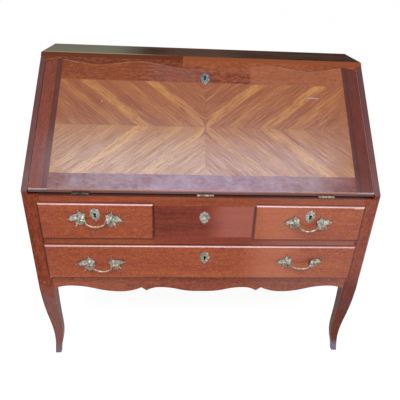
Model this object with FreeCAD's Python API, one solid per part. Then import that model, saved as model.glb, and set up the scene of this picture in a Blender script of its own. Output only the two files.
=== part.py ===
import FreeCAD, Part
import math
import os

os.makedirs("parts", exist_ok=True)

Vec = FreeCAD.Vector

# Case: y = 0 is the front plane while modelling, +Y goes to the back, z = 0 is the floor
CASE_WIDTH = 1070.0
CASE_DEPTH = 527.0
CASE_HEIGHT = 1000.0
SLANT_FOOT_Z = 675.0
TOP_DEPTH = 167.3
TOP_THICK = 11.5
SIDE_THICK = 18.0
BACK_THICK = 10.0
POST_SIZE = 48.0
ARRIS = 2.5
SOFT_EDGE = 1.5
JOINT_EDGE = 0.8

HALF_WIDTH = CASE_WIDTH / 2
INSIDE_X = HALF_WIDTH - SIDE_THICK
POST_X = HALF_WIDTH - POST_SIZE
REAR_POST_Y = CASE_DEPTH - POST_SIZE
TOP_FRONT_Y = CASE_DEPTH - TOP_DEPTH
TOP_UNDER_Z = CASE_HEIGHT - TOP_THICK
SLOPE = math.atan2(CASE_HEIGHT - SLANT_FOOT_Z, TOP_FRONT_Y)
SLANT_LENGTH = math.hypot(CASE_HEIGHT - SLANT_FOOT_Z, TOP_FRONT_Y)
POST_TOP_Z = 660.0

# Legs: height, inset of the two outer faces from the post's, and width of the square section
LEG_SECTIONS = [
    (0.0, 10.0, 20.0),
    (14.0, 11.5, 19.5),
    (52.0, 15.0, 24.0),
    (95.0, 15.5, 29.5),
    (150.0, 11.5, 34.0),
    (215.0, 5.0, 40.0),
    (270.0, 1.5, 44.0),
    (310.0, 0.0, POST_SIZE),
]
LEG_JOIN_Z = LEG_SECTIONS[-1][0]

# Scalloped lower edges: sides from the post, apron on its right half (x, z)
SIDE_END_Z = 312.0
SIDE_CREST_Z = 330.0
SIDE_LOBE_Z = 306.0
SIDE_CREST_RUN = 70.0
BACK_LOW_Z = 315.0
APRON_MIDDLE = (20.0, 300.0)
APRON_INNER_CREST = (140.0, 317.0)
APRON_TIP = (184.5, 303.0)
APRON_NOTCH = (201.0, 316.0)
APRON_LOBE = (270.0, 298.5)
APRON_OUTER_CREST = (433.0, 323.5)
APRON_END = (POST_X, 311.0)

# Front frame: drawer lips overlap the frame all round and stand proud of it
LIP_OVERLAP = 6.0
LIP_PROUD = 6.0
LIP_ROUND = 4.5
LIP_GAP = 0.5
SMALL_LIP_Z = (514.0, 636.0)
LONG_LIP_Z = (361.0, 487.0)
SMALL_LIP_X = (156.0, 493.0)
RAIL_DEPTH = POST_SIZE
RAIL_TOP_Z = 665.0
APRON_THICK = 22.0
CENTRE_THICK = 18.0

SMALL_OPEN_Z = (SMALL_LIP_Z[0] + LIP_OVERLAP, SMALL_LIP_Z[1] - LIP_OVERLAP)
LONG_OPEN_Z = (LONG_LIP_Z[0] + LIP_OVERLAP, LONG_LIP_Z[1] - LIP_OVERLAP)
SMALL_OPEN_X = (SMALL_LIP_X[0] + LIP_OVERLAP, SMALL_LIP_X[1] - LIP_OVERLAP)
FRONT_FACE_Y = -LIP_GAP - LIP_PROUD

# Drawer boxes
PLUG_BACK_Y = 16.0
BOX_CLEAR = 1.5
BOX_BACK_Y = 440.0
BOX_SIDE = 12.0
BOX_BACK = 10.0
BOX_BOTTOM = 7.0
BOTTOM_RAISE = 6.0
RUN_GAP = 0.5

# Frame inside the case
DUST_THICK = 12.0
RUNNER_IN = 47.0
RUNNER_HIGH = 22.0
GUIDE_HIGH = 16.0
SMALL_GUIDE_HIGH = 6.0
WELL_WALL = 12.0

# Lid: x across, s up the slope from the foot of the slant, n outwards from the slanted plane
LID_THICK = 18.0
LID_SIDE_GAP = 1.2
LID_NOSE_Y = 5.2
LID_BOTTOM_Z = 668.5
NOSE_ROUND = 4.0
STILE_WIDTH = 54.5
PANEL_LOW_S = 58.0
PANEL_HIGH_S = 383.0
VENEER = 1.0
LEATHER = 1.2
LEATHER_MARGIN = 10.0
LID_HALF = INSIDE_X - LID_SIDE_GAP
PANEL_HALF = LID_HALF - STILE_WIDTH

# Wavy joint between the lid and the fixed rail: troughs and crests from the middle outwards
WAVE_TROUGH_S = 440.0
WAVE_CREST_S = 458.0
WAVE_FLAT_X = 83.0
WAVE_CREST_1_X = 220.0
WAVE_TROUGH_X = 352.0
WAVE_CREST_2_X = 472.0
WAVE_GAP = 1.2
TOP_RAIL_THICK = 20.0

# Hinges
HINGE_X = (-366.0, 0.0, 366.0)
HINGE_LENGTH = 50.0
KNUCKLES = 5
KNUCKLE_GAP = 0.3
KNUCKLE_R = 3.6
PIN_R = 1.5
PIN_FIT = 0.05
LEAF_THICK = 2.0
LEAF_BACK_Y = 20.0
LEAF_FIT = 0.2
PIN_Y = 0.5
PIN_Z = (RAIL_TOP_Z + LID_BOTTOM_Z) / 2

# Writing bed, well and pigeonholes
BED_THICK = 14.0
BED_TOP_Z = 677.0
BED_FRONT_Y = 21.5
BED_BEVEL_Y = 30.3
BED_BEVEL_Z = 669.0
BED_END_GAP = 13.5
WELL_OUTSIDE_X = SMALL_OPEN_X[0]
WELL_HALF = WELL_OUTSIDE_X - WELL_WALL
SLIDE_RIM = 5.0
SLIDE_HALF = WELL_OUTSIDE_X - SLIDE_RIM
SLIDE_Y = (76.0, 264.0)
SLIDE_CHANNEL_Y = 430.0
SLIDE_PLAY = 0.3
GRIP_IN = 30.0
GRIP_HALF = 30.0
GRIP_R = 12.0
GRIP_RISE = 8.0
BAY_FRONT_Y = 275.0
BAY_BOARD = 8.0
BAY_GAP = 0.5
BAY_UPRIGHT_X = (-307.0, -102.0, 102.0, 307.0)
BAY_SHELF_Z = 745.0
BAY_TOP_Z = 870.0
INNER_CLEAR = 1.0
INNER_FRONT = 8.0
INNER_WALL = 6.0
INNER_BOTTOM = 4.0
INNER_BACK_Y = 470.0
KNOB_LENGTH = 14.0
KNOB_R = 6.0

# Lid stays: pivot on the lid and stud on the case are equally far from the hinge pin,
# so the bar turns at exactly half the rate of the lid
STAY_PIVOT_S = 80.0
STAY_PIVOT_N = -28.0
STAY_STUD_ANGLE = math.radians(14.0)
LID_OPEN_ANGLE = math.pi - SLOPE
STAY_OUT = 5.5
STAY_THICK = 3.0
STAY_X = (INSIDE_X - STAY_OUT - STAY_THICK, INSIDE_X - STAY_OUT)
STAY_WIDTH = 14.0
STAY_HEAD_R = 8.0
STUD_R = 3.0
STUD_PLAY = 0.2
STUD_HEAD_R = 6.0
STAY_PIN_R = 2.5
STAY_TAIL = 9.0
STAY_GAP = 0.5
STUD_HEAD = 2.0
STAY_SLOT_FRONT = 20.0
STAY_SLOT_BACK = 85.0
EAR_THICK = 3.0
EAR_HALF = 7.0
EAR_DROP = 6.0
BRACKET_HALF = 14.0
BRACKET_FOOT = 18.0
STAY_PIN_END = 1.0

# Brass on the drawers and lid: each handle was set by hand, so none matches another quite (x, z)
LEFT_HANDLE = (-326.0, 588.0)
RIGHT_HANDLE = (322.0, 580.0)
LONG_LEFT_HANDLE = (-318.0, 421.0)
LONG_RIGHT_HANDLE = (317.0, 428.0)
SMALL_KEYHOLE_X = 325.0
BAIL_SPAN = 76.0
BAIL_R = 2.0
BAIL_DROP = 22.0
BAIL_BEND = 5.0
BAIL_CORNER = 10.0
BAIL_TAIL = 2.0
BAIL_AXIS_OUT = 13.0
BAIL_REACH = 17.0
POST_R = 4.6
LEAF_PLATE = 2.5
ESCUTCHEON_HALF = (16.0, 23.5)
ESCUTCHEON_THICK = 2.0
LOBE_POWER_TOP = 1.7
LOBE_POWER_FOOT = 1.3
LOBE_SWELL = 0.05
LOBE_COUNT = 8
LOBE_POINTS = 48
KEYHOLE_R = 3.4
KEYHOLE_LONG = 10.0
KEYHOLE_BACKING = 4.0
SMALL_ESCUTCHEON_Z = 600.0
CENTRE_ESCUTCHEON_Z = 589.0
LONG_ESCUTCHEON_Z = 440.0
LID_ESCUTCHEON_S = 399.0

# Lid lock
LOCK_HALF_X = 35.0
LOCK_S = (388.0, 438.0)
LOCK_DEEP = 12.0
LOCK_WALL = 1.5
BOLT_HALF_X = 12.0
BOLT_N = (-26.0, -21.0)
BOLT_LOW_S = 412.0
BOLT_FIT = 0.3
BOLT_SHOW = 0.5

# The finished part stands with the middle of its outline over the origin
FRONT_REACH = -FRONT_FACE_Y + BAIL_REACH + BAIL_R
Y_SHIFT = (FRONT_REACH - CASE_DEPTH) / 2


def box(x, y, z):
    """Box between pairs of limits."""
    return Part.makeBox(x[1] - x[0], y[1] - y[0], z[1] - z[0], Vec(x[0], y[0], z[0]))


def prism_x(points, x):
    """Board of constant section (y, z) between two x limits."""
    ring = [Vec(x[0], py, pz) for py, pz in points]
    face = Part.Face(Part.makePolygon(ring + ring[:1]))
    return face.extrude(Vec(x[1] - x[0], 0, 0))


def rod_x(y, z, radius, x):
    """Cylinder along X."""
    return Part.makeCylinder(radius, x[1] - x[0], Vec(x[0], y, z), Vec(1, 0, 0))


def rod_y(x, z, radius, y):
    """Cylinder along Y."""
    return Part.makeCylinder(radius, y[1] - y[0], Vec(x, y[0], z), Vec(0, 1, 0))


def mirrored(shape):
    """Mirror image in the middle plane of the desk."""
    return shape.mirror(Vec(0, 0, 0), Vec(1, 0, 0))


def both_sides(shape):
    """A shape and its mirror image as separate solids."""
    return [shape, mirrored(shape)]


def on_lid(shape):
    """Move a shape drawn flat as (x, s, n) onto the slant."""
    moved = shape.copy()
    moved.rotate(Vec(0, 0, 0), Vec(1, 0, 0), math.degrees(SLOPE))
    moved.translate(Vec(0, 0, SLANT_FOOT_Z))
    return moved


def lid_point(s, n):
    """Case (y, z) of a point on the lid given up the slope and outwards."""
    y = s * math.cos(SLOPE) - n * math.sin(SLOPE)
    z = SLANT_FOOT_Z + s * math.sin(SLOPE) + n * math.cos(SLOPE)
    return y, z


def slant_y(z):
    """Depth of the slanted plane at a height."""
    return (z - SLANT_FOOT_Z) / math.tan(SLOPE)


def arc_from_level(level, end):
    """Arc from a point where it runs level to an end point."""
    dx = end[0] - level[0]
    dz = end[1] - level[1]
    radius = (dx * dx + dz * dz) / (2 * dz)
    half_turn = math.atan2(abs(dx), abs(radius) - abs(dz)) / 2
    mid_x = level[0] + math.copysign(abs(radius) * math.sin(half_turn), dx)
    mid_z = level[1] + radius * (1 - math.cos(half_turn))
    return [level, (mid_x, mid_z), end]


def s_curve(start, end):
    """Two equal arcs joining two points, level at both."""
    middle = ((start[0] + end[0]) / 2, (start[1] + end[1]) / 2)
    second = arc_from_level(end, middle)
    return [arc_from_level(start, middle), second[::-1]]


def outline_edges(pieces, to_vec):
    """Edges of a chain of lines (2 points) and arcs (3 points)."""
    edges = []
    for piece in pieces:
        points = [to_vec(p) for p in piece]
        if len(points) == 2:
            edges.append(Part.makeLine(points[0], points[1]))
        else:
            edges.append(Part.Arc(points[0], points[1], points[2]).toShape())
    return edges


def mirrored_chain(pieces):
    """A chain on the +X side joined to its mirror image, running from -X to +X."""
    left = [[(-px, pz) for px, pz in piece[::-1]] for piece in pieces[::-1]]
    return left + pieces


def closed_board(pieces, to_vec, thick):
    """Board bounded by a closed chain, pushed along a direction."""
    wire = Part.Wire(Part.__sortEdges__(outline_edges(pieces, to_vec)))
    return Part.Face(wire).extrude(thick)


def rounded(shape, radius, chosen):
    """Round the edges whose centre passes the test."""
    edges = [e for e in shape.Edges if chosen(e)]
    return shape.makeFillet(radius, edges)


def near(value, target):
    """True if two lengths agree."""
    return abs(value - target) < 0.01


def square_section(x, y, z, size, corner):
    """Square ring with rounded corners at a height."""
    low_x, high_x, low_y, high_y = x, x + size, y, y + size
    diag = corner * (1 - math.sqrt(0.5))
    edges = [
        Part.makeLine(Vec(low_x + corner, low_y, z), Vec(high_x - corner, low_y, z)),
        Part.Arc(Vec(high_x - corner, low_y, z), Vec(high_x - diag, low_y + diag, z),
                 Vec(high_x, low_y + corner, z)).toShape(),
        Part.makeLine(Vec(high_x, low_y + corner, z), Vec(high_x, high_y - corner, z)),
        Part.Arc(Vec(high_x, high_y - corner, z), Vec(high_x - diag, high_y - diag, z),
                 Vec(high_x - corner, high_y, z)).toShape(),
        Part.makeLine(Vec(high_x - corner, high_y, z), Vec(low_x + corner, high_y, z)),
        Part.Arc(Vec(low_x + corner, high_y, z), Vec(low_x + diag, high_y - diag, z),
                 Vec(low_x, high_y - corner, z)).toShape(),
        Part.makeLine(Vec(low_x, high_y - corner, z), Vec(low_x, low_y + corner, z)),
        Part.Arc(Vec(low_x, low_y + corner, z), Vec(low_x + diag, low_y + diag, z),
                 Vec(low_x + corner, low_y, z)).toShape(),
    ]
    return Part.Wire(edges)


def corner_post(top_z):
    """Right front post with its cabriole leg, up to a height."""
    rings = [
        square_section(HALF_WIDTH - inset - size, inset, z, size, ARRIS)
        for z, inset, size in LEG_SECTIONS
    ]
    leg = Part.makeLoft(rings, True, False)
    ring = square_section(POST_X, 0, LEG_JOIN_Z, POST_SIZE, ARRIS)
    post = Part.Face(ring).extrude(Vec(0, 0, top_z - LEG_JOIN_Z))
    return leg.fuse(post)


def rear_post():
    """Right rear post, turned back to front."""
    middle = Vec(0, CASE_DEPTH / 2, 0)
    return corner_post(TOP_UNDER_Z).mirror(middle, Vec(0, 1, 0))


def side_panel():
    """Right side with the slanted upper edge and a scalloped lower edge."""
    crest_y = POST_SIZE + SIDE_CREST_RUN
    top_y = slant_y(TOP_UNDER_Z)
    points = [
        (POST_SIZE, SIDE_END_Z), (crest_y, SIDE_CREST_Z), (CASE_DEPTH / 2, SIDE_LOBE_Z),
        (CASE_DEPTH - crest_y, SIDE_CREST_Z), (REAR_POST_Y, SIDE_END_Z),
    ]
    pieces = []
    for start, end in zip(points, points[1:]):
        pieces += s_curve(start, end)
    corners = [
        (REAR_POST_Y, SIDE_END_Z), (REAR_POST_Y, TOP_UNDER_Z), (top_y, TOP_UNDER_Z),
        (0.0, SLANT_FOOT_Z), (0.0, POST_TOP_Z), (POST_SIZE, POST_TOP_Z), (POST_SIZE, SIDE_END_Z),
    ]
    pieces += [[a, b] for a, b in zip(corners, corners[1:])]
    panel = closed_board(pieces, lambda p: Vec(INSIDE_X, p[0], p[1]), Vec(SIDE_THICK, 0, 0))

    def outer_edges(edge):
        centre = edge.CenterOfMass
        on_front = near(centre.y, 0.0) or near(centre.y, top_y / 2)
        return near(centre.x, HALF_WIDTH) and on_front

    def inner_slant(edge):
        centre = edge.CenterOfMass
        return near(centre.x, INSIDE_X) and near(centre.y, top_y / 2)

    return rounded(rounded(panel, ARRIS, outer_edges), JOINT_EDGE, inner_slant)


def top_board():
    """Top with its front edge planed to the slant."""
    section = [
        (slant_y(TOP_UNDER_Z), TOP_UNDER_Z), (CASE_DEPTH, TOP_UNDER_Z),
        (CASE_DEPTH, CASE_HEIGHT), (TOP_FRONT_Y, CASE_HEIGHT),
    ]
    board = prism_x(section, (-HALF_WIDTH, HALF_WIDTH))

    def top_edges(edge):
        return near(edge.CenterOfMass.z, CASE_HEIGHT)

    return rounded(board, SOFT_EDGE, top_edges)


def back_panel():
    """Thin back between the rear posts."""
    y = (CASE_DEPTH - BACK_THICK, CASE_DEPTH)
    return box((-POST_X, POST_X), y, (BACK_LOW_Z, TOP_UNDER_Z))


def wave_chain(shift):
    """Wavy joint line (x, s) across the desk, moved along the slope by a shift."""
    low = WAVE_TROUGH_S + shift
    high = WAVE_CREST_S + shift
    half = [[(0.0, low), (WAVE_FLAT_X, low)]]
    half += s_curve((WAVE_FLAT_X, low), (WAVE_CREST_1_X, high))
    half += s_curve((WAVE_CREST_1_X, high), (WAVE_TROUGH_X, low))
    half += s_curve((WAVE_TROUGH_X, low), (WAVE_CREST_2_X, high))
    half.append(arc_from_level((WAVE_CREST_2_X, high), (INSIDE_X, low)))
    return mirrored_chain(half)


def top_front_rail():
    """Fixed scalloped rail under the top board, in the plane of the lid."""
    chain = wave_chain(WAVE_GAP)
    high = SLANT_LENGTH + TOP_RAIL_THICK
    end_s = chain[-1][-1][1]
    corners = [(INSIDE_X, end_s), (INSIDE_X, high), (-INSIDE_X, high), (-INSIDE_X, end_s)]
    chain += [[a, b] for a, b in zip(corners, corners[1:])]
    blank = closed_board(chain, lambda p: Vec(p[0], p[1], 0), Vec(0, 0, -TOP_RAIL_THICK))
    under_top = box((-HALF_WIDTH, HALF_WIDTH), (0, CASE_DEPTH), (POST_TOP_Z, TOP_UNDER_Z))
    rail = on_lid(blank).common(under_top)
    return rounded(rail, JOINT_EDGE, lambda e: on_slant(e) and e.CenterOfMass.z < joint_top_z())


def on_slant(edge):
    """True if the middle of an edge lies in the slanted plane."""
    centre = edge.CenterOfMass
    return near(centre.y, slant_y(centre.z))


def joint_top_z():
    """Height that the whole wavy joint stays under."""
    return lid_point(WAVE_CREST_S + WAVE_GAP * 2, 0.0)[1]


def hinge_seats(y_back, z_low, z_high):
    """Shallow seats that let the three hinges into a rail."""
    half = HINGE_LENGTH / 2 + KNUCKLE_GAP
    return [box((x - half, x + half), (-KNUCKLE_R * 2, y_back), (z_low, z_high)) for x in HINGE_X]


def upper_front_rail():
    """Rail the lid closes on, rebated for the writing bed and seated for the hinges."""
    bed_under = BED_TOP_Z - BED_THICK
    section = [
        (0, SMALL_OPEN_Z[1]), (RAIL_DEPTH, SMALL_OPEN_Z[1]), (RAIL_DEPTH, bed_under),
        (BED_FRONT_Y, bed_under), (BED_FRONT_Y, RAIL_TOP_Z), (0, RAIL_TOP_Z),
    ]
    rail = prism_x(section, (-POST_X, POST_X))
    seats = hinge_seats(LEAF_BACK_Y, RAIL_TOP_Z - LEAF_THICK, RAIL_TOP_Z + 1)
    half = HINGE_LENGTH / 2 + KNUCKLE_GAP
    for x in HINGE_X:
        seats.append(rod_x(PIN_Y, PIN_Z, KNUCKLE_R + KNUCKLE_GAP, (x - half, x + half)))
    return rail.cut(Part.makeCompound(seats))


def middle_front_rail():
    """Rail between the small drawers and the long drawer."""
    return box((-POST_X, POST_X), (0, RAIL_DEPTH), (LONG_OPEN_Z[1], SMALL_OPEN_Z[0]))


def centre_front_panel():
    """Blank panel between the small drawers."""
    return box((-WELL_OUTSIDE_X, WELL_OUTSIDE_X), (0, CENTRE_THICK), SMALL_OPEN_Z)


def front_apron():
    """Scalloped apron under the long drawer."""
    half = [[(0.0, APRON_MIDDLE[1]), APRON_MIDDLE]]
    half += s_curve(APRON_MIDDLE, APRON_INNER_CREST)
    half.append(arc_from_level(APRON_INNER_CREST, APRON_TIP))
    half.append([APRON_TIP, APRON_NOTCH])
    half.append(arc_from_level(APRON_LOBE, APRON_NOTCH)[::-1])
    half += s_curve(APRON_LOBE, APRON_OUTER_CREST)
    half.append(arc_from_level(APRON_OUTER_CREST, APRON_END))
    chain = mirrored_chain(half)
    top = LONG_OPEN_Z[0]
    corners = [APRON_END, (POST_X, top), (-POST_X, top), (-POST_X, APRON_END[1])]
    chain += [[a, b] for a, b in zip(corners, corners[1:])]
    return closed_board(chain, lambda p: Vec(p[0], 0, p[1]), Vec(0, APRON_THICK, 0))


def dust_board():
    """Full board between the small drawers and the long drawer."""
    z = (SMALL_OPEN_Z[0] - DUST_THICK, SMALL_OPEN_Z[0])
    return box((-INSIDE_X, INSIDE_X), (RAIL_DEPTH, REAR_POST_Y), z)


def well_walls():
    """Two partitions and a back that make the well behind the blank panel."""
    x = (WELL_HALF, WELL_OUTSIDE_X)
    z = (SMALL_OPEN_Z[0], BED_TOP_Z - BED_THICK)
    wall = box(x, (RAIL_DEPTH, REAR_POST_Y), z)
    cheek = box(x, (CENTRE_THICK, RAIL_DEPTH), SMALL_OPEN_Z)
    back = box((-WELL_HALF, WELL_HALF), (REAR_POST_Y - WELL_WALL, REAR_POST_Y), z)
    return both_sides(wall) + both_sides(cheek) + [back]


def drawer_runners():
    """Runners, guides and kickers screwed to the sides."""
    y = (POST_SIZE, REAR_POST_Y)
    low = LONG_OPEN_Z[0]
    x_wide = (INSIDE_X - RUNNER_IN, INSIDE_X)
    x_guide = (POST_X, INSIDE_X)
    runner = box(x_wide, y, (low - RUNNER_HIGH, low + RUN_GAP))
    guide = box(x_guide, y, (low + RUN_GAP, low + GUIDE_HIGH))
    kicker = box(x_wide, y, (LONG_OPEN_Z[1], SMALL_OPEN_Z[0] - DUST_THICK))
    small_guide = box(x_guide, y, (SMALL_OPEN_Z[0], SMALL_OPEN_Z[0] + SMALL_GUIDE_HIGH))
    strips = []
    for strip in (runner, guide, kicker, small_guide):
        strips += both_sides(strip)
    return strips


def writing_bed():
    """Bed boards around the well, with end strips that leave slots for the stays."""
    under = BED_TOP_Z - BED_THICK
    end_x = INSIDE_X - BED_END_GAP
    nose = [
        (BED_FRONT_Y, under), (REAR_POST_Y, under), (REAR_POST_Y, BED_TOP_Z),
        (BED_BEVEL_Y, BED_TOP_Z), (BED_FRONT_Y, BED_BEVEL_Z),
    ]
    hole_x = SLIDE_HALF + INNER_CLEAR
    boards = both_sides(prism_x(nose, (hole_x, end_x)))
    front_y = SLIDE_Y[0] - INNER_CLEAR
    front = [(min(y, front_y), z) for y, z in nose]
    boards.append(prism_x(front, (-hole_x, hole_x)))
    boards.append(box((-hole_x, hole_x), (SLIDE_CHANNEL_Y, REAR_POST_Y), (under, BED_TOP_Z)))
    slot = stay_slot_y()
    front_strip = [(min(y, slot[0]), z) for y, z in nose]
    boards += both_sides(prism_x(front_strip, (end_x, INSIDE_X)))
    boards += both_sides(box((end_x, INSIDE_X), (slot[1], REAR_POST_Y), (under, BED_TOP_Z)))
    return boards


def secret_slide():
    """Panel over the well that slides back under the pigeonholes."""
    under = BED_TOP_Z - BED_THICK
    panel = box((-SLIDE_HALF, SLIDE_HALF), SLIDE_Y, (under + SLIDE_PLAY, BED_TOP_Z - SLIDE_PLAY))
    grip = rod_x(SLIDE_Y[0] + GRIP_IN, BED_TOP_Z + GRIP_RISE, GRIP_R, (-GRIP_HALF, GRIP_HALF))
    return panel.cut(grip)


def bay_limits():
    """Left and right limits of the five pigeonhole bays."""
    half = BAY_BOARD / 2
    lows = [-INSIDE_X + BAY_GAP] + [x + half for x in BAY_UPRIGHT_X]
    highs = [x - half for x in BAY_UPRIGHT_X] + [INSIDE_X - BAY_GAP]
    return list(zip(lows, highs))


def pigeonhole_uprights():
    """Four upright dividers."""
    half = BAY_BOARD / 2
    z = (BED_TOP_Z + BAY_BOARD, BAY_TOP_Z)
    y = (BAY_FRONT_Y, REAR_POST_Y - BAY_BOARD)
    return [box((x - half, x + half), y, z) for x in BAY_UPRIGHT_X]


def pigeonhole_shelves():
    """Base, top, back and the shelves over the inner drawers."""
    wide = (-INSIDE_X + BAY_GAP, INSIDE_X - BAY_GAP)
    y = (BAY_FRONT_Y, REAR_POST_Y)
    back_y = (REAR_POST_Y - BAY_BOARD, REAR_POST_Y)
    boards = [
        box(wide, y, (BED_TOP_Z, BED_TOP_Z + BAY_BOARD)),
        box(wide, y, (BAY_TOP_Z, BAY_TOP_Z + BAY_BOARD)),
        box(wide, back_y, (BED_TOP_Z + BAY_BOARD, BAY_TOP_Z)),
    ]
    shelf_z = (BAY_SHELF_Z, BAY_SHELF_Z + BAY_BOARD)
    for index, bay in enumerate(bay_limits()):
        if index != 2:
            boards.append(box(bay, (BAY_FRONT_Y, back_y[0]), shelf_z))
    return boards


def inner_drawer(bay):
    """Small drawer in one bay: front, two sides, back, bottom and a turned knob."""
    x = (bay[0] + INNER_CLEAR, bay[1] - INNER_CLEAR)
    z = (BED_TOP_Z + BAY_BOARD + INNER_CLEAR / 2, BAY_SHELF_Z - INNER_CLEAR)
    front_y = (BAY_FRONT_Y, BAY_FRONT_Y + INNER_FRONT)
    box_y = (front_y[1], INNER_BACK_Y)
    inner_x = (x[0] + INNER_WALL, x[1] - INNER_WALL)
    back_y = (INNER_BACK_Y - INNER_WALL, INNER_BACK_Y)
    middle = (x[0] + x[1]) / 2
    middle_z = (z[0] + z[1]) / 2
    front = rounded(box(x, front_y, z), SOFT_EDGE, lambda e: near(e.CenterOfMass.y, BAY_FRONT_Y))
    return [
        front,
        box((x[0], inner_x[0]), box_y, z),
        box((inner_x[1], x[1]), box_y, z),
        box(inner_x, back_y, z),
        box(inner_x, (front_y[1], back_y[0]), (z[0], z[0] + INNER_BOTTOM)),
        turned_knob(middle, BAY_FRONT_Y, middle_z),
    ]


def turned_knob(x, y, z):
    """Small turned knob standing out from a drawer front."""
    stem = rod_y(x, z, KNOB_R / 2, (y - KNOB_LENGTH + KNOB_R, y))
    ball = Part.makeSphere(KNOB_R, Vec(x, y - KNOB_LENGTH + KNOB_R, z))
    return stem.fuse(ball)


def lid_blank():
    """Lid board with the wavy top, vertical nose and level bottom edge."""
    chain = wave_chain(0.0)
    low = -LID_THICK * 2
    end_s = chain[-1][-1][1]
    corners = [(INSIDE_X, end_s), (INSIDE_X, low), (-INSIDE_X, low), (-INSIDE_X, end_s)]
    chain += [[a, b] for a, b in zip(corners, corners[1:])]
    board = closed_board(chain, lambda p: Vec(p[0], p[1], 0), Vec(0, 0, -LID_THICK))
    allowed = box((-LID_HALF, LID_HALF), (LID_NOSE_Y, CASE_DEPTH), (LID_BOTTOM_Z, CASE_HEIGHT))
    blank = on_lid(board).common(allowed)
    nose_z = SLANT_FOOT_Z + LID_NOSE_Y * math.tan(SLOPE)

    def nose_edge(edge):
        centre = edge.CenterOfMass
        return near(centre.y, LID_NOSE_Y) and near(centre.z, nose_z)

    def rim_edge(edge):
        return on_slant(edge) and edge.CenterOfMass.y > LID_THICK * 2

    return rounded(rounded(blank, NOSE_ROUND, nose_edge), JOINT_EDGE, rim_edge)


def lid_zone(x, s):
    """Cutting box on the lid between limits across and up the slope."""
    return on_lid(box(x, s, (-LID_THICK * 2, LID_THICK)))


def lid_stile(blank):
    """Right upright of the lid frame, full height."""
    return blank.common(lid_zone((PANEL_HALF, INSIDE_X), (-LID_HALF, LID_HALF)))


def lid_top_rail(blank):
    """Wavy top rail of the lid, bored behind its keyhole."""
    rail = blank.common(lid_zone((-PANEL_HALF, PANEL_HALF), (PANEL_HIGH_S, LID_HALF)))
    start = Vec(0, LID_ESCUTCHEON_S, -LID_THICK - 1)
    return rail.cut(on_lid(Part.makeCylinder(KEYHOLE_R, LID_THICK + 2, start)))


def lid_bottom_rail(blank):
    """Bottom rail of the lid, seated for the hinges."""
    rail = blank.common(lid_zone((-PANEL_HALF, PANEL_HALF), (-LID_HALF, PANEL_LOW_S)))
    seats = hinge_seats(LEAF_BACK_Y, LID_BOTTOM_Z - 1, LID_BOTTOM_Z + LEAF_THICK)
    return rail.cut(Part.makeCompound(seats))


def leather_field(margin):
    """Limits of the leather on the inside of the lid."""
    x = (-PANEL_HALF + margin, PANEL_HALF - margin)
    s = (PANEL_LOW_S + margin, PANEL_HIGH_S - margin)
    return x, s


def lid_panel():
    """Panel that carries the veneer outside and the leather inside."""
    core = box((-PANEL_HALF, PANEL_HALF), (PANEL_LOW_S, PANEL_HIGH_S), (-LID_THICK, -VENEER))
    x, s = leather_field(LEATHER_MARGIN)
    recess = box(x, s, (-LID_THICK - 1, -LID_THICK + LEATHER))
    return on_lid(core.cut(recess))


def lid_parquetry():
    """Four quarters of veneer that meet on the middle lines."""
    middle = (PANEL_LOW_S + PANEL_HIGH_S) / 2
    quarters = []
    for x in ((-PANEL_HALF, 0.0), (0.0, PANEL_HALF)):
        for s in ((PANEL_LOW_S, middle), (middle, PANEL_HIGH_S)):
            quarters.append(on_lid(box(x, s, (-VENEER, 0.0))))
    return quarters


def writing_leather():
    """Leather let into the inside of the lid."""
    x, s = leather_field(LEATHER_MARGIN)
    return on_lid(box(x, s, (-LID_THICK, -LID_THICK + LEATHER)))


def hinge_leaf(x, on_case):
    """One leaf of a hinge with its share of the five knuckles."""
    half = HINGE_LENGTH / 2
    pitch = HINGE_LENGTH / KNUCKLES
    low = RAIL_TOP_Z - LEAF_THICK if on_case else LID_BOTTOM_Z
    back = LEAF_BACK_Y - LEAF_FIT
    leaf = box((x - half, x + half), (PIN_Y + KNUCKLE_R, back), (low, low + LEAF_THICK))
    for index in range(KNUCKLES):
        if (index % 2 == 0) == on_case:
            start = x - half + index * pitch + KNUCKLE_GAP / 2
            span = (start, start + pitch - KNUCKLE_GAP)
            barrel = rod_x(PIN_Y, PIN_Z, KNUCKLE_R, span)
            web = box(span, (PIN_Y, PIN_Y + KNUCKLE_R), (low, low + LEAF_THICK))
            leaf = leaf.fuse(barrel).fuse(web)
    return leaf.cut(rod_x(PIN_Y, PIN_Z, PIN_R + PIN_FIT, (x - half - 1, x + half + 1)))


def hinge_pin(x):
    """Pin of a hinge."""
    half = HINGE_LENGTH / 2
    return rod_x(PIN_Y, PIN_Z, PIN_R, (x - half, x + half))


def stay_points():
    """Stay pivot at rest and stay stud as (y, z), and their distance from the hinge pin."""
    pivot = lid_point(STAY_PIVOT_S, STAY_PIVOT_N)
    reach = math.hypot(pivot[0] - PIN_Y, pivot[1] - PIN_Z)
    stud_y = PIN_Y + reach * math.cos(STAY_STUD_ANGLE)
    stud_z = PIN_Z + reach * math.sin(STAY_STUD_ANGLE)
    return pivot, (stud_y, stud_z), reach


def stay_reach():
    """Distance from the pivot to the stud with the lid closed and open."""
    pivot, stud, reach = stay_points()
    closed = math.hypot(stud[0] - pivot[0], stud[1] - pivot[1])
    turn = math.atan2(pivot[1] - PIN_Z, pivot[0] - PIN_Y) - STAY_STUD_ANGLE
    opened = 2 * reach * math.sin((turn + LID_OPEN_ANGLE) / 2)
    return closed, opened


def stay_slot_y():
    """Room that the tail of a stay sweeps through the writing bed."""
    stud = stay_points()[1]
    return stud[0] - STAY_SLOT_FRONT, stud[0] + STAY_SLOT_BACK


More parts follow.
